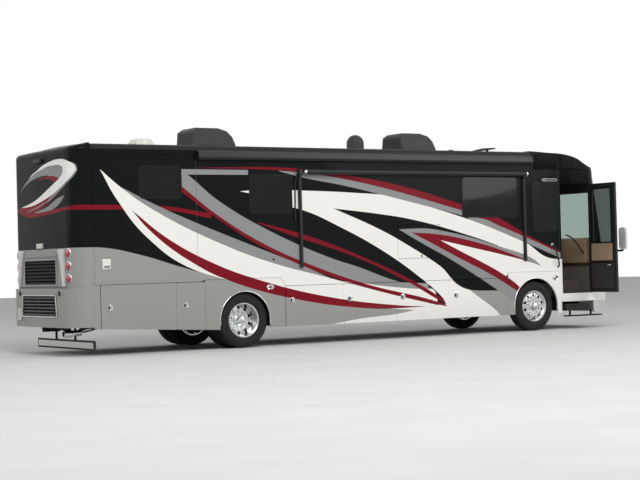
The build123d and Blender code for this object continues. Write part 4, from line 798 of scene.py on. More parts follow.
def chassis_paint():
    """Black chassis enamel under road grime."""
    return grained("chassis_enamel", ("0E0E0E", "2C2925"), 60, 0.6, (0.5, 0.8), {"Specular IOR Level": 0.3})


def cast_iron():
    """Sand-cast iron: coarse, dark and dull."""
    return grained("sand_cast_iron", ("1B1A19", "35322E"), 6, 0.8, (0.6, 0.85), {"Metallic": 0.5})


def engine_enamel():
    """Grey engine enamel with soot."""
    return grained("engine_enamel", ("2E3032", "53565A"), 80, 0.5, (0.45, 0.7))


def black_plastic():
    """Moulded black plastic with a fine leather-like grain."""
    return grained(
        "moulded_black_plastic", ("111213", "1D1E20"), 3, 0.15, (0.45, 0.6),
        {"Specular IOR Level": 0.35},
    )


def louvre_black():
    """Black anodised blades and dark slots: nearly no shine. On the vent's and the air units' slot bars and
    the latches' dark patches it is painted shade.
    """
    return grained(
        "black_anodised_blades", ("070707", "101112"), 20, 0.1, (0.45, 0.6),
        {"Specular IOR Level": 0.2},
    )


def blade_edge():
    """The front edges of the grille's blades in metallic grey: a painted highlight along the black blades."""
    return grained("rubbed_blade_edge", ("2C2E30", "5A5D60"), 60, 0.05, (0.35, 0.5), {"Metallic": 0.4})


def shroud_plastic():
    """Vacuum-formed black shroud, greyed by the sun."""
    return grained(
        "vacuum_formed_shroud", ("202224", "2F3235"), 140, 0.3, (0.45, 0.62),
        {"Specular IOR Level": 0.35},
    )


def white_plastic():
    """White moulded plastic, faintly yellowed."""
    return grained("white_moulded_plastic", ("D6D4CC", "E9E8E2"), 90, 0.1, (0.3, 0.45))


def coated_aluminium():
    """Extruded aluminium under dark powder coat: a soft satin with long highlights."""
    return grained(
        "powder_coated_extrusion", ("191C1E", "24282A"), 2, 0.05, (0.32, 0.42),
        {"Specular IOR Level": 0.3},
    )


def awning_vinyl():
    """Rolled vinyl awning cloth: its turns show as fine lines along the roll."""
    material, tree, place = new_material("rolled_awning_vinyl", {"Roughness": 0.6, "Specular IOR Level": 0.3})
    turns = add_node(tree, "ShaderNodeTexWave", {"bands_direction": "Z"}, {
        "Vector": place, "Scale": 1000 / 24 / (2 * pi), "Distortion": 0.6,
    })
    colour = add_node(tree, "ShaderNodeMix", {"data_type": "RGBA"}, {
        0: turns.outputs["Fac"], 6: linear("121416"), 7: linear("303437"),
    })
    return to_shader(material, {"Base Color": colour.outputs[2]})


def red_lens():
    """Moulded red lamp lens: glossy, with rings of prisms under the surface."""
    material, tree, place = new_material(
        "red_lamp_lens", {"Roughness": 0.12, "Coat Weight": 0.6, "Specular IOR Level": 0.5}
    )
    prisms = add_node(tree, "ShaderNodeTexVoronoi", None, {"Vector": place, "Scale": 1000 / 9})
    colour = add_node(tree, "ShaderNodeMix", {"data_type": "RGBA"}, {
        0: prisms.outputs["Distance"], 6: linear("BC2030"), 7: linear("80101C"),
    })
    return to_shader(material, {"Base Color": colour.outputs[2]})


def amber_lens():
    """Amber marker lamp lens."""
    return grained("amber_lamp_lens", ("5C3A22", "8A5A30"), 6, 0.2, (0.1, 0.2), {"Coat Weight": 0.4})


def clear_lens():
    """Clear lamp cover: a bright reflector seen through fluted polycarbonate."""
    return grained(
        "clear_lamp_lens", ("9AA2A8", "E4E8EA"), 25, 0.3, (0.06, 0.16),
        {"Metallic": 0.6, "Coat Weight": 0.8},
    )


def moulding_paint_with_highlight():
    """Silver paint on the raised mouldings beside the hatch, lighter than the body's silver: a painted
    highlight along the mouldings.
    """
    return grained("bright_silver_paint", ("BABBB8", "C6C7C4"), 200, 0.05, (0.25, 0.35), {"Coat Weight": 0.2})


def bumper_painted_shade():
    """The front bumper's moulding in pale grey, a step darker than the white skirts: painted shade on faces
    that turn away from the light.
    """
    return grained("pale_bumper_moulding", ("BDBFC0", "C9CACB"), 200, 0.1, (0.3, 0.4), {"Coat Weight": 0.1})


def tan_vinyl():
    """Soft tan vinyl of the dashboard and trim: fine pebble grain."""
    return grained("tan_vinyl", ("8C765E", "A48C72"), 4, 0.3, (0.5, 0.65))


def seat_leather():
    """Tan coach leather: pebbled, softly shiny where it is stretched."""
    material, tree, place = new_material(
        "tan_seat_leather", {"Specular IOR Level": 0.4, "Sheen Weight": 0.15}
    )
    pebble = add_node(tree, "ShaderNodeTexVoronoi", {"feature": "SMOOTH_F1"}, {
        "Vector": place, "Scale": 1000 / 7,
    })
    wear = add_node(tree, "ShaderNodeTexNoise", None, {
        "Vector": place, "Scale": 1000 / 90, "Detail": 4,
    }).outputs["Fac"]
    colour = add_node(tree, "ShaderNodeMix", {"data_type": "RGBA"}, {
        0: wear, 6: linear("6B5138"), 7: linear("94765A"),
    })
    rough = add_node(tree, "ShaderNodeMapRange", None, {"Value": wear, "To Min": 0.35, "To Max": 0.6})
    bump = add_node(tree, "ShaderNodeBump", None, {
        "Height": pebble.outputs["Distance"], "Distance": 0.0008, "Strength": 0.6,
    })
    return to_shader(material, {
        "Base Color": colour.outputs[2], "Roughness": rough.outputs["Result"],
        "Normal": bump.outputs["Normal"],
    })


def cabin_lining():
    """Padded vinyl wall lining, pale beige."""
    return grained("padded_wall_lining", ("9C8F7E", "B3A695"), 12, 0.3, (0.6, 0.75))


def carpet():
    """Cut-pile carpet: deep, uneven and without shine."""
    return grained("cut_pile_carpet", ("3B332B", "5C5146"), 6, 2.0, (0.9, 1.0), {"Sheen Weight": 0.3})


def floor_boards():
    """Oiled oak floor boards laid lengthwise."""
    return grained("oiled_oak_boards", ("5A4330", "7C5F44"), 45, 0.3, (0.4, 0.55))


def bay_lining():
    """Roto-moulded grey bay lining."""
    return grained("moulded_bay_lining", ("3E3F41", "55575A"), 9, 0.4, (0.6, 0.8))


def guard_rubber():
    """Reinforced rubber sheet, scuffed and dusty."""
    return grained("reinforced_rubber", ("1C1B1A", "34312D"), 30, 0.6, (0.75, 0.95))


def brushed_strip():
    """Brushed stainless strip, dulled by gravel."""
    return bright_metal("brushed_stainless", ("B4B2AC", "C6C4BE"), (0.34, 0.44), 25)


FINISHES = {}


def finish(make):
    """The material that a function makes, made once."""
    made = FINISHES.get(make.__name__)
    if made is None:
        made = FINISHES[make.__name__] = make()
    return made


# The brow's outer line as (x, z): its straight runs are bent into one curve
BROW_BENDS = ((6.560, 3.510), (6.950, 3.482), (7.355, 3.458), (7.705, 3.380), (7.990, 3.235), (8.180, 3.195))
BROW_FOOT = 3.16
BROW_STEP = 0.05


def brow_bulge(x):
    """How far the brow's curve stands above its straight runs at x, and the height of the straight run."""
    steps = list(zip(BROW_BENDS, BROW_BENDS[1:]))
    slopes = [(b[1] - a[1]) / (b[0] - a[0]) for a, b in steps]
    turns = [slopes[0]] + [(p + q) / 2 for p, q in zip(slopes, slopes[1:])] + [slopes[-1]]
    for i, (a, b) in enumerate(steps):
        if a[0] <= x <= b[0]:
            run = b[0] - a[0]
            s = (x - a[0]) / run
            straight = a[1] + s * (b[1] - a[1])
            rise = run * s * (1 - s) * ((1 - s) * (turns[i] - slopes[i]) - s * (turns[i + 1] - slopes[i]))
            return rise, straight
    return 0, 1 + BROW_FOOT


def smooth_brow(piece):
    """Cuts the brow across every few centimetres and bends it into a smooth curve."""
    edit(piece)
    count = round((BROW_BENDS[-1][0] - BROW_BENDS[0][0]) / BROW_STEP)
    for i in range(1, count):
        bpy.ops.mesh.select_all(action="SELECT")
        bpy.ops.mesh.bisect(plane_co=at(BROW_BENDS[0][0] + i * BROW_STEP, 0, 0), plane_no=(1, 0, 0))
    close(piece)
    for vertex in piece.data.vertices:
        rise, straight = brow_bulge(vertex.co.x - AXLE_X)
        share = (vertex.co.z - BROW_FOOT) / (straight - BROW_FOOT)
        vertex.co.z += rise * min(max(share, 0), 1)
    return piece


class COACH_OT_paint_panels(bpy.types.Operator):
    """The body's walls, ends, skirts and doors in striped paint, lined inside."""
    bl_idname = "coach.paint_panels"
    bl_label = "Body panels"

    def execute(self, context):
        edge = bpy.context.scene.coach_sizes.edge
        paint, lining = finish(striped_paint), finish(cabin_lining)
        for node in ("wall_right", "wall_left", "rear_cap"):
            line_inside(dressed(node, paint, edge), lining)
        front = dressed("front_cap", paint, edge)
        line_inside(smooth_brow(front), lining)
        for node in ("rear_bumper", "skirts", "tv_door"):
            dressed(node, paint, edge)
        # The bumper's pale grey is painted shade.
        dressed("front_bumper", finish(bumper_painted_shade), edge)
        for side in ("right", "left"):
            for number in range(1, 7):
                dressed(f"bay_door_{side}_{number}", paint, edge)
        dressed("roof", finish(roof_skin))
        return {"FINISHED"}


def window_frame(x0, x1, z0, z1, side):
    """A flush window's black frame and the bar of its sliding half."""
    y = side * (HALF + 0.006)
    low, high = (x0 - SEAL, z0 - SEAL), (x1 + SEAL, z1 + SEAL)
    points = [at(u, y, v) for u, v in corners(low, high, WINDOW_R + SEAL)]
    inward = Vector((0, -side * 0.016, 0))
    ring = border("window_frame", points, 0.022, inward)
    if x1 - x0 > 0.7:
        bar = z0 + (z1 - z0) * 0.30
        low, high = at(x0 + 0.02, y - side * 0.010, bar), at(x1 - 0.02, y - side * 0.001, bar + 0.022)
        ring = joined("window_frame", [ring, soften(block("window_bar", low, high), 0.003)])
    return ring


class COACH_OT_glaze(bpy.types.Operator):
    """Tinted side windows in frames, the windshield and the entry door's pane."""
    bl_idname = "coach.glaze"
    bl_label = "Glass"

    def execute(self, context):
        dressed("side_windows", finish(tinted_glass), sharp=30)
        dressed("windshield", finish(clear_glass), sharp=40)
        dressed("entry_door_glass", finish(privacy_glass))
        for side, name in ((-1, "right"), (1, "left")):
            rings = [window_frame(*window, side) for window in WINDOWS[side]]
            fit(joined(f"window_frames_{name}", rings), finish(louvre_black), "coach")
        return {"FINISHED"}


def tyre_outline(depth):
    """Half of a tyre's section as (radius, half width), from bead to crown."""
    r = TYRE_R
    side = [(0.292, 0.099), (0.300, 0.112), (0.316, 0.121), (0.336, 0.129), (0.342, 0.132), (0.348, 0.130)]
    side += [(0.372, 0.135), (0.400, 0.1355), (0.428, 0.131), (0.450, 0.121), (r - 0.014, 0.109),
             (r - 0.006, 0.100)]
    tread = [(r - 0.003, 0.094), (r - 0.0015, 0.074)]
    for outer, inner in ((0.070, 0.060), (0.036, 0.026)):
        tread += [(r - depth, outer), (r - depth, inner), (r - 0.0005, inner - 0.004)]
        if inner > 0.03:
            tread.append((r - 0.0005, 0.040))
    return side + tread + [(r, 0.012)]


def make_tyre():
    """One tyre with its grooves and shoulder blocks, at the origin."""
    half = tyre_outline(bpy.context.scene.coach_sizes.tread_depth)
    outline = half + [(r, -w) for r, w in reversed(half)] + half[:1]
    return turned("tyre_pattern", outline, (0, 0, 0), steps=96, sharp=28)


# The circle that the hand holes' middles lie on
HOLE_CIRCLE = 0.218


def make_disc(dish):
    """One polished wheel at the origin, facing the driver's side: barrel, bead seats and a pressed disc
    with hand holes. dish is how far the disc stands outside the wheel's middle."""
    sizes = bpy.context.scene.coach_sizes
    w = TYRE_W / 2 - 0.018
    outline = [(0.285, w), (0.300, w), (0.300, w - 0.012), (0.284, w - 0.030), (0.270, 0.030),
               (0.284, -w + 0.030), (0.300, -w + 0.012), (0.300, -w), (0.285, -w), (0.262, -0.060),
               (0.258, dish - 0.030), (0.246, dish - 0.012), (0.176, dish - 0.004), (0.150, dish - 0.004),
               (0.086, dish - 0.004), (0.086, dish + 0.010), (0.176, dish + 0.010), (0.196, dish + 0.012),
               (0.246, dish + 0.004), (0.262, min(dish + 0.030, w - 0.012)), (0.276, w - 0.006), (0.285, w)]
    wheel = turned("disc_pattern", outline, (0, 0, 0), steps=80, sharp=40)
    bore = rod("bore", (0, dish - 0.06, 0), (0, dish + 0.05, 0), sizes.hand_hole_r, 20)
    angles = [2 * pi * (i + 0.5) / sizes.hand_holes for i in range(sizes.hand_holes)]
    moves = [Matrix.Translation((HOLE_CIRCLE * cos(a), 0, HOLE_CIRCLE * sin(a))) for a in angles]
    return cut(wheel, joined("bores", repeated(bore, moves)))


def make_nuts():
    """Ten wheel nuts with domed caps on their circle round the origin."""
    outline = [(0.0, 0.034), (0.008, 0.033), (0.014, 0.027), (0.016, 0.014), (0.020, 0.008), (0.020, 0.0),
               (0.0, 0.0)]
    spot = (0, 0, bpy.context.scene.coach_sizes.nut_circle)
    return circle_of(turned("nuts_pattern", outline, spot, steps=12, sharp=50), Vector((0, 0, 0)), "Y", 10)


def make_hub_cap(deep):
    """The chrome cap over a wheel's hub, at the origin."""
    outline = [(0.0, deep), (0.030, deep), (0.058, deep - 0.010), (0.072, deep - 0.030), (0.078, 0.020),
               (0.092, 0.012), (0.096, 0.0), (0.0, 0.0)]
    return turned("cap_pattern", outline, (0, 0, 0), steps=64, sharp=35)


# How far the discs, the nuts and the caps stand outside a wheel's middle
FRONT_DISC, FRONT_NUTS, FRONT_CAP = 0.085, 0.095, 0.092
TWIN_DISC, TWIN_NUTS, TWIN_CAP = -0.075, -0.065, -0.068
FRONT_CAP_DEEP, TWIN_CAP_DEEP = 0.080, 0.120


def dress_hub(patterns, label, side, place, body, offsets):
    """A wheel's nuts and hub cap."""
    for pattern, part, out in zip(patterns, ("nuts", "cap"), offsets):
        piece = copied(pattern, f"{label}_{part}_{side}", place @ Matrix.Translation((0, out, 0)))
        fit(piece, finish(chrome_plate), body)


class COACH_OT_wheels(bpy.types.Operator):
    """Tyres, polished wheels, nuts and hub caps, each made once and copied to its places."""
    bl_idname = "coach.wheels"
    bl_label = "Wheels"

    def execute(self, context):
        rubber, polish = finish(tyre_rubber), finish(polished_aluminium)
        tyre, nuts = make_tyre(), make_nuts()
        front_disc, twin_disc = make_disc(FRONT_DISC), make_disc(TWIN_DISC)
        front_cap, twin_cap = make_hub_cap(FRONT_CAP_DEEP), make_hub_cap(TWIN_CAP_DEEP)
        for side, name in ((-1, "right"), (1, "left")):
            facing, back = Matrix.Diagonal((1, side, 1, 1)), Matrix.Diagonal((1, -side, 1, 1))
            front = Matrix.Translation(at(WHEELBASE, side * FRONT_TRACK, TYRE_R))
            outer = Matrix.Translation(at(0, side * TWIN_OUTER, TYRE_R))
            inner = Matrix.Translation(at(0, side * TWIN_INNER, TYRE_R))
            body, twins = f"front_wheel_{name}", f"rear_wheels_{name}"
            fit(copied(tyre, f"front_tyre_{name}", front), rubber, body, replaces=[f"tyre_front_{name}"])
            pair = [copied(tyre, "outer", outer), copied(tyre, "inner", inner)]
            fit(joined(f"twin_tyres_{name}", pair), rubber, twins, replaces=[f"tyres_rear_{name}"])
            disc = copied(front_disc, f"front_disc_{name}", front @ facing)
            fit(disc, polish, body, replaces=[f"rim_front_{name}"])
            discs = [copied(twin_disc, "outer_disc", outer @ facing),
                     copied(twin_disc, "inner_disc", inner @ back)]
            fit(joined(f"twin_discs_{name}", discs), polish, twins, replaces=[f"rims_rear_{name}"])
            dress_hub((nuts, front_cap), "front", name, front @ facing, body, (FRONT_NUTS, FRONT_CAP))
            dress_hub((nuts, twin_cap), "twin", name, outer @ facing, twins, (TWIN_NUTS, TWIN_CAP))
        for pattern in (tyre, nuts, front_disc, twin_disc, front_cap, twin_cap):
            bpy.data.objects.remove(pattern)
        return {"FINISHED"}


class COACH_OT_underside(bpy.types.Operator):
    """Frame, axles, engine, floors and the other parts under the body."""
    bl_idname = "coach.underside"
    bl_label = "Underside"

    def execute(self, context):
        enamel, iron = finish(chassis_paint), finish(cast_iron)
        for node, make in UNDERSIDE:
            dressed(node, finish(make), 0.002)
        for node in ("front_axle", "rear_axle", "knuckle_right", "knuckle_left"):
            dressed(node, iron, 0.003)
        dressed("chassis_frame", enamel)
        return {"FINISHED"}


UNDERSIDE = (
    ("hitch_receiver", chassis_paint), ("bay_bulkheads", bay_lining), ("bay_floors", bay_lining),
    ("floor_deck", floor_boards), ("step_well", carpet), ("engine_block", engine_enamel),
    ("stone_guard", guard_rubber), ("entry_steps", chassis_paint), ("exhaust_pipe", chrome_plate),
)
DETAILS = (
    ("rear_louvre", louvre_black), ("front_grille", louvre_black), ("awning_case", coated_aluminium),
    ("headlamps", clear_lens), ("dashboard", tan_vinyl), ("tv_case", black_plastic),
)


class COACH_OT_simple_details(bpy.types.Operator):
    """The lower grille, front grille, awning case, headlamps, dashboard and television box."""
    bl_idname = "coach.simple_details"
    bl_label = "Simple details"

    def execute(self, context):
        for node, make in DETAILS:
            dressed(node, finish(make), 0.003)
        return {"FINISHED"}


def both_sides(make, material, body, replaces=()):
    """A group of pieces made for the curb side and mirrored to the driver's side, as one piece."""
    right = make()
    left = across(right, f"{right.name}_left")
    return fit(joined(right.name, [right, left]), material, body, replaces)


# The latches' places on the luggage doors, as x and z, and the radius of their dish
LATCHES = ((-2.56, 0.79), (-1.16, 0.78), (0.95, 0.79), (2.18, 0.78), (3.35, 0.77), (4.59, 0.76))
LATCH_R = 0.056
SIDE_Y = -HALF


def latch_dish():
    """A luggage door's latch at the origin: a bright round dish."""
    outline = [(0.0, -0.004), (0.038, -0.004), (0.044, -0.011), (LATCH_R - 0.003, -0.010), (LATCH_R, -0.002),
               (LATCH_R, 0.002), (0.0, 0.002)]
    return turned("latch", outline, (0, 0, 0), "Y", 40)


def latch_paddle():
    """The paddle in a latch's dish."""
    return soften(block("latch_paddle", (-0.002, -0.003, -0.030), (0.026, -0.016, 0.030)), 0.005, 3)


def latch_well():
    """A dark patch beside a latch's paddle: painted shade for the hollow behind the paddle."""
    return soften(block("latch_well", (-0.030, -0.003, -0.026), (-0.004, -0.006, 0.026)), 0.001)


class COACH_OT_latches(bpy.types.Operator):
    """A bright latch with a paddle on each luggage door."""
    bl_idname = "coach.latches"
    bl_label = "Latches"

    def execute(self, context):
        chrome, dark = finish(chrome_plate), finish(louvre_black)
        # The dark patch beside each paddle is painted shade.
        rows = ((latch_dish(), chrome, "chrome"), (latch_paddle(), chrome, "chrome"),
                (latch_well(), dark, "black_plastic"))
        for number, (x, z) in enumerate(LATCHES, 1):
            spot = Matrix.Translation(at(x, SIDE_Y, z))
            for pattern, material, slot in rows:
                for side, move in (("right", spot), ("left", ACROSS @ spot)):
                    piece = copied(pattern, f"{pattern.name}_{side}_{number}", move)
                    fit(piece, material, f"bay_door_{side}_{number}")
        for pattern, _, _ in rows:
            bpy.data.objects.remove(pattern)
        return {"FINISHED"}


def oval_marker():
    """An oval amber lamp in a bright rim, at the origin."""
    half, tall, lens_r = 0.075, 0.047, 0.042
    points = [(half * cos(a), 0.002, tall * sin(a)) for a in [2 * pi * i / 32 for i in range(32)]]
    lamp = plate("marker_pattern", points, (0, -0.012, 0))
    edit(lamp)
    pick_faces(lamp, lambda place, normal: normal.y < -0.9)
    bpy.ops.mesh.inset(thickness=0.014)
    bpy.ops.transform.translate(value=(0, 0.006, 0))
    bpy.ops.mesh.inset(thickness=0.016)
    bpy.ops.transform.translate(value=(0, -0.008, 0))
    close(lamp)
    lamp.data.materials.append(finish(chrome_plate))
    return second_finish(
        lamp, finish(amber_lens), lambda place, normal: place.xz.length < lens_r and abs(normal.y) > 0.9
    )


def side_markers():
    """Oval side lamps behind the rear wheels' arches and behind the doorway, in bright rims."""
    pattern = oval_marker()
    for x, z in ((7.07, 1.02), (0.51, 1.04)):
        spot = Matrix.Translation(at(x, SIDE_Y, z))
        pair = [copied(pattern, "side_marker", spot), copied(pattern, "left_marker", ACROSS @ spot)]
        fit(joined("side_marker", pair), finish(chrome_plate), "coach")
    bpy.data.objects.remove(pattern)


VENT_BOX = ((-2.68, 1.42), (-2.53, 1.59))
PORCH_LAMP = ((6.78, 2.92), (7.17, 2.965))


def fridge_vent():
    """The white square vent behind the rear arch, with dark bars for its slots: painted shade inside the
    openings.
    """
    points = [at(u, SIDE_Y + 0.001, v) for u, v in corners(*VENT_BOX, 0.012)]
    cover = plate("square_vent", points, (0, -0.014, 0))
    edit(cover)
    pick_faces(cover, lambda place, normal: normal.y < -0.9)
    bpy.ops.mesh.inset(thickness=0.012)
    bpy.ops.transform.translate(value=(0, -0.005, 0))
    fit(close(cover), finish(white_plastic), "coach")
    (x0, z0), (x1, _) = VENT_BOX
    # Dark bars stand for the vent's slots: painted shade.
    low, high = at(x0 + 0.02, SIDE_Y - 0.018, z0 + 0.022), at(x1 - 0.02, SIDE_Y - 0.0215, z0 + 0.029)
    slot = soften(block("vent_slot", low, high), 0.001)
    slots = repeated(slot, [Matrix.Translation((0, 0, 0.014 * i)) for i in range(3)])
    fit(joined("vent_slots", slots), finish(louvre_black), "coach")


def porch_lamp():
    """The long low lamp over the entry, dark when it is off, in a bright rim."""
    outline = corners(*PORCH_LAMP, 0.021)
    rim = border("porch_rim", [at(u, SIDE_Y + 0.001, v) for u, v in outline], 0.006, (0, -0.014, 0))
    fit(rim, finish(chrome_plate), "coach")
    (x0, z0), (x1, z1) = PORCH_LAMP
    inner = corners((x0 + 0.006, z0 + 0.006), (x1 - 0.006, z1 - 0.006), 0.015)
    lens = plate("porch_lens", [at(u, SIDE_Y + 0.001, v) for u, v in inner], (0, -0.012, 0))
    fit(lens, finish(tinted_glass), "coach")


def side_locks():
    """Two small dark locks: one on the wall, one on the television door."""
    outline = [(0.0, -0.008), (0.014, -0.008), (0.018, -0.004), (0.020, 0.004), (0.0, 0.004)]
    pattern = turned("lock_pattern", outline, (0, 0, 0), "Y", 24)
    for name, x, z, body in (("wall_lock", 0.596, 1.515, "coach"), ("tv_lock", 3.814, 1.513, "tv_door")):
        lock = copied(pattern, name, Matrix.Translation(at(x, SIDE_Y, z)))
        fit(lock, finish(louvre_black), body)
    bpy.data.objects.remove(pattern)


def grab_handle():
    """The black grab handle behind the doorway, on bright sockets."""
    top, foot, out = (7.01, 1.67), (7.14, 1.23), SIDE_Y - 0.075
    bends = ((top, SIDE_Y), (top, out), (foot, out), (foot, SIDE_Y))
    route = [at(x, y, z) for (x, z), y in bends]
    fit(tube("grab_handle", route, 0.014), finish(black_plastic), "coach")
    outline = [(0.0, -0.016), (0.024, -0.014), (0.032, -0.004), (0.034, 0.001), (0.0, 0.001)]
    socket = turned("handle_socket", outline, (0, 0, 0), "Y", 24)
    sockets = repeated(socket, [Matrix.Translation(route[0]), Matrix.Translation(route[-1])])
    fit(joined("handle_sockets", sockets), finish(chrome_plate), "coach")


def arch_lip(x, r, z):
    """A bright lip round a wheel arch."""
    angles = [radians(-8 + 196 * i / 40) for i in range(41)]
    ring = [at(x + r * cos(a), SIDE_Y - 0.001, z + r * sin(a)) for a in angles]
    return tube("arch_lip", ring, 0.010)


def arch_lips():
    """Bright lips round the four wheel arches."""
    for x, gap in ((0, 0.020), (WHEELBASE, 0.065)):
        both_sides(lambda: arch_lip(x, TYRE_R + gap, TYRE_R), finish(chrome_plate), "coach")


def wall_outline():
    """The fine moulding round the side wall, rounded at its rear upper corner."""
    angles = [radians(9 * i) for i in range(11)]
    turn = [(-2.81 + 0.26 * (1 - cos(a)), 3.05 + 0.26 * sin(a)) for a in angles]
    route = [at(x, SIDE_Y, z) for x, z in [(-2.81, 1.20), *turn, (-0.92, 3.31)]]
    return tube("wall_outline", route, 0.008)


def slide_out_seams():
    """The fine upright seams where the side wall's panels meet."""
    strips = []
    for x, low, high in ((-0.90, 1.36, 3.20), (7.20, 1.25, 3.14)):
        strip = block("seam", at(x - 0.002, SIDE_Y + 0.001, low), at(x + 0.002, SIDE_Y - 0.001, high))
        strips.append(soften(strip, 0.0005))
    return joined("wall_seams", strips)


class COACH_OT_side_trim(bpy.types.Operator):
    """Mouldings, seams and arch lips along both sides."""
    bl_idname = "coach.side_trim"
    bl_label = "Side trim"

    def execute(self, context):
        both_sides(wall_outline, finish(striped_paint), "coach")
        both_sides(slide_out_seams, finish(bay_lining), "coach")
        arch_lips()
        fridge_vent()
        porch_lamp()
        side_locks()
        grab_handle()
        side_markers()
        return {"FINISHED"}


# The tail lamps' place across the coach, their heights, how far they sit in and their turn in degrees
LAMP_Y = HALF - 0.225
LAMP_ZS = (1.287, 1.495, 1.700)
LAMP_BACK, LAMP_TURN = 0.024, 12


def lamp_seats():
    """The matrices that turn a lamp made at the origin to the rounded corner's surface."""
    turn = Matrix.Rotation(radians(LAMP_TURN), 4, "Z")
    return [Matrix.Translation(at(REAR_X + LAMP_BACK, -LAMP_Y, z)) @ turn for z in LAMP_ZS]


def lamp_lenses():
    """One corner's three round lenses: low domes."""
    outline = [(0.0, -0.026), (0.030, -0.024), (0.050, -0.020), (0.062, -0.014), (0.067, -0.006),
               (0.067, 0.030), (0.0, 0.030)]
    return joined("round_tail_lamps", repeated(turned("lens", outline, (0, 0, 0), "X", 48), lamp_seats()))


def lamp_rims():
    """The bright rims of one corner's three round lamps."""
    outline = [(0.067, -0.004), (0.070, -0.010), (0.075, -0.009), (0.080, -0.002), (0.080, 0.008),
               (0.067, 0.008), (0.067, -0.004)]
    return joined("lamp_rims", repeated(turned("rim", outline, (0, 0, 0), "X", 48), lamp_seats()))


class COACH_OT_tail_lamps(bpy.types.Operator):
    """Six round red lamps in bright rims, three on each rear corner."""
    bl_idname = "coach.tail_lamps"
    bl_label = "Tail lamps"

    def execute(self, context):
        both_sides(lamp_lenses, finish(red_lens), "coach", ["tail_lamps"])
        both_sides(lamp_rims, finish(chrome_plate), "coach")
        return {"FINISHED"}


HATCH_X = REAR_X - 0.012
HATCH_SURROUND = ((0.900, 1.145), (0.962, 1.145), (0.945, 1.500), (0.925, 1.775), (0.728, 1.775),
                  (0.830, 1.470))
UPPER_GRILLE = (0.650, 1.195, 1.595)
LOWER_GRILLE = (0.670, 0.670, 1.000)
UPPER_BLADES, LOWER_BLADES = 7, 6


class COACH_OT_hatch(bpy.types.Operator):
    """The engine hatch: painted frame with black blades."""
    bl_idname = "coach.hatch"
    bl_label = "Engine hatch"

    def execute(self, context):
        leaf = dressed("engine_hatch", finish(striped_paint), 0.004)
        half, low, high = UPPER_GRILLE
        slack = 0.003
        corner = at(REAR_X - 0.1, -half - slack, low - slack)
        opposite = at(REAR_X + 0.1, half + slack, high + slack)
        finish_within(leaf, finish(louvre_black), corner, opposite)
        return {"FINISHED"}


def grille_frame(half, low, high, x, flare):
    """A bright frame round a grille, its sides leaning out by flare towards the bottom."""
    ends = ((-half - flare, low), (half + flare, low), (half, high), (-half, high))
    points = [at(x, y, z) for y, z in ends]
    frame_piece = border("grille_frame", points, 0.026, (0.012, 0, 0))
    return soften(frame_piece, 0.004)


def blade_lips(name, half, low, high, x, count):
    """The front edges of a grille's blades: one lip that bends down, copied up the grille."""
    section = [(0.0, 0.0), (-0.006, -0.002), (-0.010, -0.010), (-0.008, -0.016), (-0.004, -0.010),
               (0.0, -0.006)]
    pitch, end = (high - low) / count, half - 0.01
    first = low + 0.62 * pitch
    lip = plate("blade_lip", [at(x + u, -end, first + v) for u, v in section], (0, 2 * end, 0))
    return joined(name, repeated(lip, [Matrix.Translation((0, 0, pitch * i)) for i in range(count)]))


# The grille's own rim lies this far behind the bright frame that covers it
RIM_SINK = 0.003


class COACH_OT_rear_grilles(bpy.types.Operator):
    """Bright frames and blade lips on both rear grilles; the lips' grey is a painted highlight."""
    bl_idname = "coach.rear_grilles"
    bl_label = "Rear grilles"

    def execute(self, context):
        # The blade lips' grey finish is a painted highlight along the blades' front edges.
        bright, painted_edge_highlight = finish(brushed_strip), finish(blade_edge)
        half, low, high = UPPER_GRILLE
        top = grille_frame(half + 0.028, low - 0.028, high + 0.028, HATCH_X - 0.013, 0)
        fit(top, bright, "engine_hatch")
        lips = blade_lips("upper_blade_lips", half, low, high, HATCH_X + 0.004, UPPER_BLADES)
        fit(lips, painted_edge_highlight, "engine_hatch")
        half, low, high = LOWER_GRILLE
        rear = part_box("rear_louvre")[0].x
        for vertex in bpy.data.objects["rear_louvre_finished"].data.vertices:
            vertex.co.x = max(vertex.co.x, rear + RIM_SINK)
        foot = grille_frame(half + 0.026, low - 0.028, high + 0.028, rear - AXLE_X, 0.05)
        fit(foot, bright, "coach")
        lips = blade_lips("lower_blade_lips", half, low, high, rear - AXLE_X + 0.010, LOWER_BLADES)
        fit(lips, painted_edge_highlight, "coach")
        return {"FINISHED"}


def hatch_moulding():
    """The raised moulding on the curb side of the hatch."""
    outline = [at(REAR_X + 0.050, -y, z) for y, z in HATCH_SURROUND]
    return soften(plate("hatch_surround", outline, (-0.090, 0, 0)), 0.026, 5)


def rear_sensor():
    """A small black diamond on the rear moulding."""
    x, y, z = at(REAR_X - 0.055, -0.83, 1.045)
    diamond = [(x, y + 0.045 * cos(a), z + 0.045 * sin(a)) for a in [pi / 2 * i for i in range(4)]]
    return plate("rear_sensors", diamond, (-0.012, 0, 0))


# Rounded blocks on the rear face: name, low corner, high corner, rounding, steps, finish, body, slot
REAR_BLOCKS = (
    ("hatch_ledge", (-0.012, -0.66, 1.655), (-0.032, 0.66, 1.680), 0.006, 2, striped_paint, "engine_hatch",
     "coach_paint"),
    ("hatch_handle", (0.012, -0.13, 1.795), (-0.043, 0.11, 1.885), 0.012, 3, brushed_strip, "coach",
     "silver_paint"),
    ("rear_camera", (0.012, -0.13, 3.235), (-0.048, 0.17, 3.305), 0.012, 3, black_plastic, "coach",
     "black_plastic"),
)


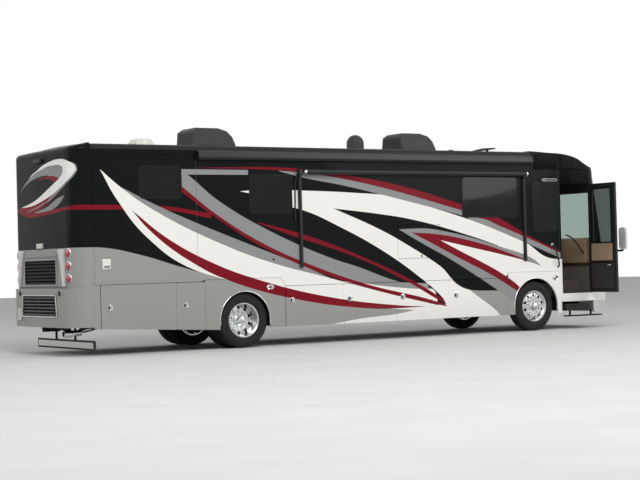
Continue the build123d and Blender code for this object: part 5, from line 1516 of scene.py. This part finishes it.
class COACH_OT_rear_trim(bpy.types.Operator):
    """Mouldings beside the hatch, its ledge and handle, camera, sensors, blank plate and exhaust tip."""
    bl_idname = "coach.rear_trim"
    bl_label = "Rear trim"

    def execute(self, context):
        # The mouldings' lighter silver is a painted highlight.
        both_sides(hatch_moulding, finish(moulding_paint_with_highlight), "coach")
        for name, low, high, rounding, steps, make, body, slot in REAR_BLOCKS:
            low, high = [at(REAR_X + x, y, z) for x, y, z in (low, high)]
            fit(soften(block(name, low, high), rounding, steps), finish(make), body)
        both_sides(rear_sensor, finish(black_plastic), "coach")
        low, high = at(REAR_X - 0.052, 0.76, 0.590), at(REAR_X - 0.068, 0.93, 0.790)
        fit(soften(block("blank_plate", low, high), 0.004), finish(brushed_strip), "coach")
        outline = [(0.050, 0.0), (0.058, 0.0), (0.060, 0.012), (0.056, 0.16), (0.050, 0.16), (0.050, 0.0)]
        tip = turned("exhaust_tip", outline, at(REAR_X + 0.024, -HALF + 0.495, 0.375), "X", 40)
        fit(tip, finish(chrome_plate), "coach")
        near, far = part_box("stone_guard")
        low, high = Vector((near.x, near.y + 0.05, 0.125)), Vector((near.x - 0.006, far.y - 0.05, 0.225))
        fit(soften(block("guard_strip", low, high), 0.002), finish(brushed_strip), "coach")
        return {"FINISHED"}


# The air conditioners' middles and lengths, their half width, and the slots in their backs
AIR_UNITS = ((0.015, 0.830), (4.515, 0.800))
AIR_HALF = 0.350
SLOTS, SLOT_FOOT, SLOT_PITCH = 6, 0.11, 0.034


class COACH_OT_air_units(bpy.types.Operator):
    """Two black roof shrouds with seams and a slotted back, its slots dark bars of painted shade."""
    bl_idname = "coach.air_units"
    bl_label = "Air conditioners"

    def execute(self, context):
        dressed("roof_air_units", finish(shroud_plastic), 0.060, 8, 4)
        ends = [(x - length / 2, x + length / 2) for x, length in AIR_UNITS]
        rises = [ROOF_Z + SLOT_FOOT + SLOT_PITCH * i for i in range(SLOTS)]
        moves = [Matrix.Translation(at(back, 0, z)) for back, _ in ends for z in rises]
        # Each slot is a dark bar on the back: painted shade.
        slot = soften(block("slot", (0.001, -0.25, 0), (-0.004, 0.25, 0.014)), 0.002)
        fit(joined("air_unit_slots", repeated(slot, moves)), finish(louvre_black), "coach")
        bands = []
        for back, front in ends:
            low = at(back + 0.02, -AIR_HALF - 0.004, ROOF_Z + 0.075)
            high = at(front - 0.02, AIR_HALF + 0.004, ROOF_Z + 0.095)
            bands.append(soften(block("band", low, high), 0.003))
        fit(joined("air_unit_bands", bands), finish(shroud_plastic), "coach")
        return {"FINISHED"}


def roof_lid(x, half, top):
    """A moulded vent lid: a raised crown on a flanged base."""
    lid = block("vent_lid", at(x - half, -half, ROOF_Z + 0.02), at(x + half, half, top - 0.055))
    edit(lid)
    pick_faces(lid, lambda place, normal: normal.z > 0.9)
    bpy.ops.mesh.inset(thickness=half * 0.12)
    bpy.ops.mesh.extrude_region_move(TRANSFORM_OT_translate={"value": (0, 0, 0.035)})
    bpy.ops.mesh.inset(thickness=half * 0.20)
    bpy.ops.transform.translate(value=(0, 0, 0.020))
    close(lid)
    return soften(lid, half * 0.08, 3)


class COACH_OT_roof_fittings(bpy.types.Operator):
    """The satellite dome, the aerial on its mast, the white vent lid and the small vent."""
    bl_idname = "coach.roof_fittings"
    bl_label = "Roof fittings"

    def execute(self, context):
        r = 0.165
        outline = [(0.0, r)] + [(r * sin(a), r * cos(a)) for a in [radians(9 * i) for i in range(1, 11)]]
        outline += [(r, -0.150), (r + 0.012, -0.160), (r + 0.012, -0.175), (0.0, -0.175)]
        dome = turned("dome", outline, at(3.257, 0, ROOF_Z + 0.200), "Z", 64)
        x = 6.47
        outline = [(0.0, 0.13), (0.028, 0.13), (0.032, 0.05), (0.060, 0.0), (0.070, -0.01), (0.0, -0.01)]
        mast = turned("mast", outline, at(x, 0, ROOF_Z + 0.03), "Z", 32)
        wing = [(-0.205, 0.132), (0.410, 0.126), (0.410, 0.146), (0.10, 0.170), (-0.205, 0.158)]
        blade = plate("aerial_wing", [at(x - 0.055, y, ROOF_Z + up) for y, up in wing], (0.11, 0, 0))
        outline = [(0.0, 0.07), (0.050, 0.065), (0.058, 0.05), (0.045, 0.04), (0.045, 0.0), (0.0, 0.0)]
        vent = turned("small_vent", outline, at(5.55, 0, ROOF_Z + 0.05), "Z", 32)
        whole = joined("roof_pieces", [dome, mast, soften(blade, 0.006), vent])
        fit(whole, finish(shroud_plastic), "coach", ["roof_fittings"])
        fit(roof_lid(-1.285, 0.170, ROOF_Z + 0.195), finish(white_plastic), "coach")
        return {"FINISHED"}


# The patio awning's roller: back x, front x, y, z and radius. Its arms: back x and front x
ROLLER = (1.24, 6.36, -1.337, 3.050, 0.048)
ARM_XS = ((1.13, 1.20), (6.27, 6.34))


def awning_roll():
    """The patio awning's rolled cloth and its two bright ends."""
    back, front, y, z, r = ROLLER
    back_end, front_end = back + 0.03, front - 0.03
    outline = [(0.0, back_end), (r, back_end), (r, front_end), (0.0, front_end)]
    roll = turned("awning_roll", outline, at(0, y, z), "X", 40)
    fit(roll, finish(awning_vinyl), "coach", ["awning_roller"])
    outline = [(0.0, back_end), (r + 0.002, back_end), (r + 0.004, back + 0.01), (r * 0.5, back - 0.01),
               (0.0, back - 0.01)]
    end = turned("roller_end", outline, at(0, y, z), "X", 40)
    swap = Matrix.Translation((back + front + 2 * AXLE_X, 0, 0)) @ Matrix.Diagonal((-1, 1, 1, 1))
    fit(joined("roller_ends", [end, copied(end, "other_end", swap)]), finish(chrome_plate), "coach")


def awning_arms():
    """The patio awning's two folded arms, made once and copied, with the rear one's brace."""
    (x0, x1), (x2, _) = ARM_XS
    y, roller_y = SIDE_Y, ROLLER[2]
    arm = joined("awning_arms", [
        soften(block("arm", at(x0, y, 1.36), at(x1, y - 0.030, 3.10)), 0.006),
        soften(block("arm", at(x0 + 0.014, y - 0.028, 1.42), at(x1 - 0.014, y - 0.045, 3.06)), 0.004),
        soften(block("arm_head", at(x0 - 0.004, y - 0.02, 2.98), at(x1 + 0.004, roller_y - 0.02, 3.09)),
               0.010),
    ])
    places = ((1.060, 0.012, 2.20), (1.065, 0.014, 2.60), (1.075, 0.016, 2.92), (1.12, 0.030, 3.03))
    brace = tube("arm_brace", [at(x, y - out, z) for x, out, z in places], 0.013)
    front = copied(arm, "front_arm", Matrix.Translation((x2 - x0, 0, 0)))
    fit(joined("awning_arms", [arm, front, brace]), finish(black_plastic), "coach")


class COACH_OT_awnings(bpy.types.Operator):
    """The patio awning's roller between two folded arms, and the window awning's top rail."""
    bl_idname = "coach.awnings"
    bl_label = "Awnings"

    def execute(self, context):
        awning_roll()
        awning_arms()
        near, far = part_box("awning_case")
        low = Vector((near.x, near.y + 0.015, far.z - 0.075))
        high = Vector((far.x, near.y + 0.055, far.z - 0.020))
        rail = soften(block("case_rail", low, high), 0.008)
        fit(rail, finish(coated_aluminium), "coach")
        return {"FINISHED"}


MIRROR_Y, MIRROR_X, MIRROR_TURN = 1.583, FRONT_X + 0.022, 22
MIRROR_HALF, MIRROR_ZS = 0.088, (1.54, 1.99)


def mirror_part(name, back, front, grow, r):
    """A mirror's rounded head or its glass, turned outwards on the curb side."""
    low, high = (-MIRROR_HALF - grow, MIRROR_ZS[0] - grow), (MIRROR_HALF + grow, MIRROR_ZS[1] + grow)
    return plate(name, [Vector((back, u, v)) for u, v in corners(low, high, r)], (front - back, 0, 0))


def hung(piece):
    """Turns a mirror part made at the origin and moves it to the curb side."""
    turn = Matrix.Rotation(radians(MIRROR_TURN), 4, "Z")
    piece.data.transform(Matrix.Translation(at(MIRROR_X, -MIRROR_Y, 0)) @ turn)
    return piece


def mirror_head():
    """The curb side's white mirror head."""
    return hung(soften(mirror_part("mirror_head", -0.034, 0.034, 0, 0.07), 0.024, 4))


def mirror_pane():
    """The curb side's mirror glass, which faces back."""
    return hung(mirror_part("mirror_pane", -0.036, -0.030, -0.018, 0.055))


def mirror_arm():
    """The curved arm that carries the curb side's mirror."""
    places = ((FRONT_X - 0.190, -HALF + 0.10, 1.60), (FRONT_X - 0.05, -HALF - 0.02, 1.52),
              (MIRROR_X, -MIRROR_Y + 0.10, 1.52), (MIRROR_X, -MIRROR_Y, 1.52), (MIRROR_X, -MIRROR_Y, 1.60))
    return tube("mirror_arm", [at(*place) for place in places], 0.022)


class COACH_OT_mirrors(bpy.types.Operator):
    """Two mirrors on curved arms: white heads with silvered glass facing back."""
    bl_idname = "coach.mirrors"
    bl_label = "Mirrors"

    def execute(self, context):
        both_sides(mirror_head, finish(white_plastic), "coach", ["mirrors"])
        # The mirror glass's pale grey is a painted reflection.
        both_sides(mirror_pane, finish(mirror_glass_painted_reflection), "coach")
        both_sides(mirror_arm, finish(black_plastic), "coach")
        return {"FINISHED"}


# The open door's inner and outer faces
DOOR_X = (7.974, 8.024)
# Rounded blocks on the open door's inside: name, (back, forward) from its inner face, low corner,
# high corner, rounding, steps, finish, slot
DOOR_BLOCKS = (
    ("door_pocket", (-0.030, 0.0), (-1.95, 1.33), (-1.37, 1.67), 0.010, 3, tan_vinyl, "tan_trim"),
    ("door_bin", (-0.050, -0.028), (-1.90, 1.34), (-1.60, 1.47), 0.008, 3, tan_vinyl, "tan_trim"),
    ("kick_panel", (-0.012, 0.0), (-1.97, 0.78), (-1.35, 1.28), 0.006, 2, guard_rubber, "black_plastic"),
)


class COACH_OT_entry_door(bpy.types.Operator):
    """The open entry door: painted outside, black inside, with a tan pocket panel and a lower kick panel."""
    bl_idname = "coach.entry_door"
    bl_label = "Entry door"

    def execute(self, context):
        leaf = dressed("entry_door", finish(striped_paint), 0.003)
        inside = at(DOOR_X[1], 0, 0).x - 0.006
        second_finish(leaf, finish(black_plastic), lambda place, normal: place.x < inside)
        x = DOOR_X[0]
        for name, (back, front), (y0, z0), (y1, z1), rounding, steps, make, slot in DOOR_BLOCKS:
            piece = soften(block(name, at(x + back, y0, z0), at(x + front, y1, z1)), rounding, steps)
            fit(piece, finish(make), "entry_door")
        outline = [at(x + 0.001, u, v) for u, v in corners((-1.955, 1.665), (-1.367, 2.785), 0.05)]
        seal = border("pane_seal", outline, 0.034, (-0.014, 0, 0))
        fit(soften(seal, 0.004), finish(louvre_black), "entry_door")
        places = ((x, -1.90, 1.24), (x - 0.045, -1.90, 1.24), (x - 0.045, -1.72, 1.24), (x, -1.72, 1.24))
        lever = tube("door_lever", [at(*place) for place in places], 0.009)
        fit(lever, finish(chrome_plate), "entry_door")
        return {"FINISHED"}


def wiper():
    """The curb side's wiper: its arm and its upright blade."""
    foot, tip = at(FRONT_X - 0.020, -0.30, 1.490), at(FRONT_X - 0.135, -0.95, 2.02)
    low, high = at(FRONT_X - 0.030, -0.90, 1.62), at(FRONT_X - 0.145, -0.98, 2.40)
    out = Vector((1, 0, 0))
    arm = tube("wiper_arm", [foot, (foot + tip) / 2 + out * 0.045, tip + out * 0.020], 0.009)
    blade = tube("wiper_blade", [low + out * 0.02, (low + high) / 2 + out * 0.018, high + out * 0.02], 0.007)
    return joined("wipers", [arm, blade])


def brow_ridge():
    """The lip along the brow's lower edge."""
    section = [(0.0, 0.0), (-0.030, 0.004), (-0.036, 0.018), (-0.024, 0.030), (0.0, 0.046)]
    return plate("brow_lip", [at(6.62, -HALF + 0.002 + u, 3.150 + v) for u, v in section], (1.30, 0, 0))


class COACH_OT_front_trim(bpy.types.Operator):
    """The brow's lip and the two wipers."""
    bl_idname = "coach.front_trim"
    bl_label = "Front trim"

    def execute(self, context):
        both_sides(brow_ridge, finish(striped_paint), "coach")
        both_sides(wiper, finish(black_plastic), "coach")
        return {"FINISHED"}


class COACH_OT_cab_trim(bpy.types.Operator):
    """The slanting handrail by the entry steps, and a dark blind over the windshield's top: a dark block that
    puts painted shade under the cab's header.
    """
    bl_idname = "coach.cab_trim"
    bl_label = "Cab trim"

    def execute(self, context):
        rail = [at(7.62, -0.98, 1.86), at(7.72, -1.06, 1.84), at(8.02, -1.10, 1.44), at(8.10, -1.06, 1.40)]
        fit(tube("entry_handrail", rail, 0.015), finish(black_plastic), "coach")
        # The blind is a dark block that stands for the shade under the header: painted shade.
        shade = soften(block("rolled_shade", at(8.10, -1.12, 2.70), at(8.16, 1.12, 2.93)), 0.020, 3)
        fit(shade, finish(guard_rubber), "coach")
        return {"FINISHED"}


class COACH_OT_steering_wheel(bpy.types.Operator):
    """A round steering wheel with three spokes and a hub."""
    bl_idname = "coach.steering_wheel"
    bl_label = "Steering wheel"

    def execute(self, context):
        centre, r, thick = at(7.80, 0.64, 1.79), 0.208, 0.013
        ring = [(r + thick * cos(a), thick * sin(a)) for a in [2 * pi * i / 14 for i in range(15)]]
        hub = [(0.0, 0.02), (0.045, 0.016), (0.055, -0.01), (0.045, -0.03), (0.0, -0.03)]
        low, high = centre + Vector((0.04, -0.018, -0.010)), centre + Vector((r - 0.003, 0.018, 0.006))
        whole = joined("steering_wheel", [
            turned("wheel_rim", ring, centre, "Z", 56),
            turned("wheel_hub", hub, centre, "Z", 32),
            circle_of(soften(block("spoke", low, high), 0.006), centre, "Z", 3),
        ])
        lean = Matrix.Rotation(radians(-35), 4, "Y")
        whole.data.transform(Matrix.Translation(centre) @ lean @ Matrix.Translation(-centre))
        fit(whole, finish(black_plastic), "coach")
        return {"FINISHED"}


SEATS = ((7.15, 0.64), (6.85, -0.56))
# How far a pad's surface may move as it swells
PAD_REACH = 0.014


def swell(pad, reach):
    """Blows a pad up softly and keeps every point within reach of where it was."""
    activate(pad)
    remesh = pad.modifiers.new("even_mesh", "REMESH")
    remesh.mode, remesh.voxel_size = "VOXEL", 0.010
    bpy.ops.object.modifier_apply(modifier=remesh.name)
    before = [v.co.copy() for v in pad.data.vertices]
    cloth = pad.modifiers.new("filling", "CLOTH")
    cloth.settings.use_pressure, cloth.settings.uniform_pressure_force = True, 4
    cloth.settings.effector_weights.gravity = 0
    for step in range(1, 21):
        bpy.context.scene.frame_set(step)
    bpy.ops.object.modifier_apply(modifier=cloth.name)
    for vertex, place in zip(pad.data.vertices, before):
        move = vertex.co - place
        if move.length > reach:
            vertex.co = place + move.normalized() * reach
    bpy.context.scene.frame_set(1)
    smooth = pad.modifiers.new("smooth", "SUBSURF")
    smooth.levels = smooth.render_levels = 1
    bpy.ops.object.modifier_apply(modifier=smooth.name)
    bpy.ops.object.shade_smooth()
    return pad


def pad_piece(name, outline, half, x, y):
    """One cushion, from its side outline and its half width."""
    piece = plate(name, [at(x + u, y - half, FLOOR_TOP + v) for u, v in outline], (0, 2 * half, 0))
    return soften(piece, 0.028, 4)


# A seat's pads: name, side outline from the seat's place and the floor, and half width
SEAT_PADS = (
    ("cushion", [(-0.225, 0.315), (0.245, 0.315), (0.245, 0.385), (0.205, 0.415), (-0.225, 0.385)], 0.245),
    ("back", [(-0.235, 0.430), (-0.135, 0.430), (-0.290, 1.030), (-0.358, 1.030)], 0.230),
    ("head_rest", [(-0.300, 1.065), (-0.357, 1.065), (-0.388, 1.205), (-0.325, 1.205)], 0.120),
)


class COACH_OT_seats(bpy.types.Operator):
    """Two cab seats. The driver's leather pads are made and swollen, and the other seat's are copies."""
    bl_idname = "coach.seats"
    bl_label = "Seats"

    def execute(self, context):
        (x, y), (other_x, other_y) = SEATS
        pads = []
        for name, outline, half in SEAT_PADS:
            pads.append(swell(pad_piece(f"seat_{name}_1", outline, half, x, y), PAD_REACH))
        step = Matrix.Translation((other_x - x, other_y - y, 0))
        pads += [copied(pad, pad.name[:-1] + "2", step) for pad in pads]
        for pad in pads:
            fit(pad, finish(seat_leather), "coach")
        dressed("cab_seats", finish(tan_vinyl), 0.010)
        return {"FINISHED"}


# The soft studio lamps: name, place, what they point at, size and power
LAMPS = (
    ("key", (-6, -18, 16), (2.7, 0, 1.8), 12, 2500),
    ("fill", (16, -16, 9), (2.7, 0, 1.8), 12, 1100),
    ("rear_fill", (-16, 6, 7), (-3, 0, 1.8), 10, 450),
)


def soft_lamp(name, place, target, size, power):
    """One big soft studio lamp."""
    clear()
    bpy.ops.object.light_add(type="AREA", location=at(*place))
    lamp = bpy.context.object
    lamp.name = name
    lamp.data.shape, lamp.data.size, lamp.data.energy = "DISK", size, power
    lamp.rotation_euler = (at(*target) - lamp.location).to_track_quat("-Z", "Y").to_euler()
    return lamp


def studio_floor():
    """Plain pale studio floor paper."""
    return grained(
        "studio_floor_paper", ("D9D9D7", "DEDEDC"), 900, 0.01, (0.8, 0.9),
        {"Specular IOR Level": 0.1},
    )


def white_backdrop():
    """A plain white wall behind what the camera and glossy surfaces see, and a softer sky elsewhere."""
    world = bpy.data.worlds.new("studio")
    bpy.context.scene.world = world
    world.use_nodes = True
    tree = world.node_tree
    path = add_node(tree, "ShaderNodeLightPath").outputs
    seen = path["Is Camera Ray"]
    for ray in ("Is Glossy Ray", "Is Transmission Ray"):
        seen = add_node(tree, "ShaderNodeMath", {"operation": "ADD", "use_clamp": True}, {
            0: seen, 1: path[ray],
        }).outputs[0]
    strength = add_node(tree, "ShaderNodeMapRange", None, {"Value": seen, "To Min": SKY_LIGHT, "To Max": 1.0})
    sky = tree.nodes["Background"]
    sky.inputs["Color"].default_value = linear("FFFFFF")
    tree.links.new(strength.outputs["Result"], sky.inputs["Strength"])


SKY_LIGHT = 0.45
CAMERA_PLACE = (-13.769, -24.953, 1.403)
CAMERA_YAW, CAMERA_PITCH, CAMERA_ROLL = radians(32.94), radians(0.888), radians(-1.579)
CAMERA_LENS = 89.17


def pale_floor():
    """A wide plain floor under the coach."""
    middle = at(2.7, 0, 0)
    clear()
    bpy.ops.mesh.primitive_plane_add(size=1, location=middle)
    floor = bpy.context.object
    floor.name = "studio_floor"
    edit(floor)
    bpy.ops.transform.resize(value=(120, 120, 1), center_override=middle)
    bpy.ops.mesh.subdivide(number_cuts=1)
    bpy.ops.object.mode_set(mode="OBJECT")
    bpy.ops.object.transform_apply(location=True, rotation=True, scale=True)
    floor.data.materials.append(finish(studio_floor))
    return floor


def photo_camera():
    """The camera where the photographer stood."""
    data = bpy.data.cameras.new("camera")
    data.lens, data.sensor_width, data.clip_end = CAMERA_LENS, 36, 300
    camera = bpy.data.objects.new("camera", data)
    bpy.context.scene.collection.objects.link(camera)
    view = Matrix.Rotation(-CAMERA_YAW, 4, "Z") @ Matrix.Rotation(pi / 2 + CAMERA_PITCH, 4, "X")
    camera.matrix_world = Matrix.Translation(at(*CAMERA_PLACE)) @ view @ Matrix.Rotation(CAMERA_ROLL, 4, "Z")
    bpy.context.scene.camera = camera
    return camera


class COACH_OT_stage(bpy.types.Operator):
    """The floor, the lamps, the backdrop and the camera where the photographer stood."""
    bl_idname = "coach.stage"
    bl_label = "Stage"

    def execute(self, context):
        floor = pale_floor()
        key, fill, rear = [soft_lamp(*lamp) for lamp in LAMPS]
        camera = photo_camera()
        bpy.context.scene.view_settings.view_transform = "Standard"
        white_backdrop()
        return {"FINISHED"}


# The groups in the order in which they are made
STEPS = (
    COACH_OT_paint_panels, COACH_OT_glaze, COACH_OT_wheels, COACH_OT_underside,
    COACH_OT_simple_details, COACH_OT_latches, COACH_OT_side_trim, COACH_OT_tail_lamps,
    COACH_OT_hatch, COACH_OT_rear_grilles, COACH_OT_rear_trim, COACH_OT_air_units,
    COACH_OT_roof_fittings, COACH_OT_awnings, COACH_OT_mirrors, COACH_OT_entry_door,
    COACH_OT_front_trim, COACH_OT_cab_trim, COACH_OT_steering_wheel, COACH_OT_seats, COACH_OT_stage,
)


class COACH_PT_panel(bpy.types.Panel):
    """The coach's buttons"""

    bl_label = "Motor coach"
    bl_space_type = "VIEW_3D"
    bl_region_type = "UI"
    bl_category = "Coach"

    def draw(self, context):
        for step in STEPS:
            self.layout.operator(step.bl_idname)


CLASSES = (CoachPaint, CoachSizes, *STEPS, COACH_PT_panel)


def register():
    for item in CLASSES:
        bpy.utils.register_class(item)
    bpy.types.Scene.coach_paint = bpy.props.PointerProperty(type=CoachPaint)
    bpy.types.Scene.coach_sizes = bpy.props.PointerProperty(type=CoachSizes)


def unregister():
    del bpy.types.Scene.coach_paint, bpy.types.Scene.coach_sizes
    for item in reversed(CLASSES):
        bpy.utils.unregister_class(item)


def main():
    register()
    bpy.ops.coach.paint_panels()
    bpy.ops.coach.glaze()
    bpy.ops.coach.wheels()
    bpy.ops.coach.underside()
    bpy.ops.coach.simple_details()
    bpy.ops.coach.latches()
    bpy.ops.coach.side_trim()
    bpy.ops.coach.tail_lamps()
    bpy.ops.coach.hatch()
    bpy.ops.coach.rear_grilles()
    bpy.ops.coach.rear_trim()
    bpy.ops.coach.air_units()
    bpy.ops.coach.roof_fittings()
    bpy.ops.coach.awnings()
    bpy.ops.coach.mirrors()
    bpy.ops.coach.entry_door()
    bpy.ops.coach.front_trim()
    bpy.ops.coach.cab_trim()
    bpy.ops.coach.steering_wheel()
    bpy.ops.coach.seats()
    bpy.ops.coach.stage()


if __name__ == "__main__":
    main()
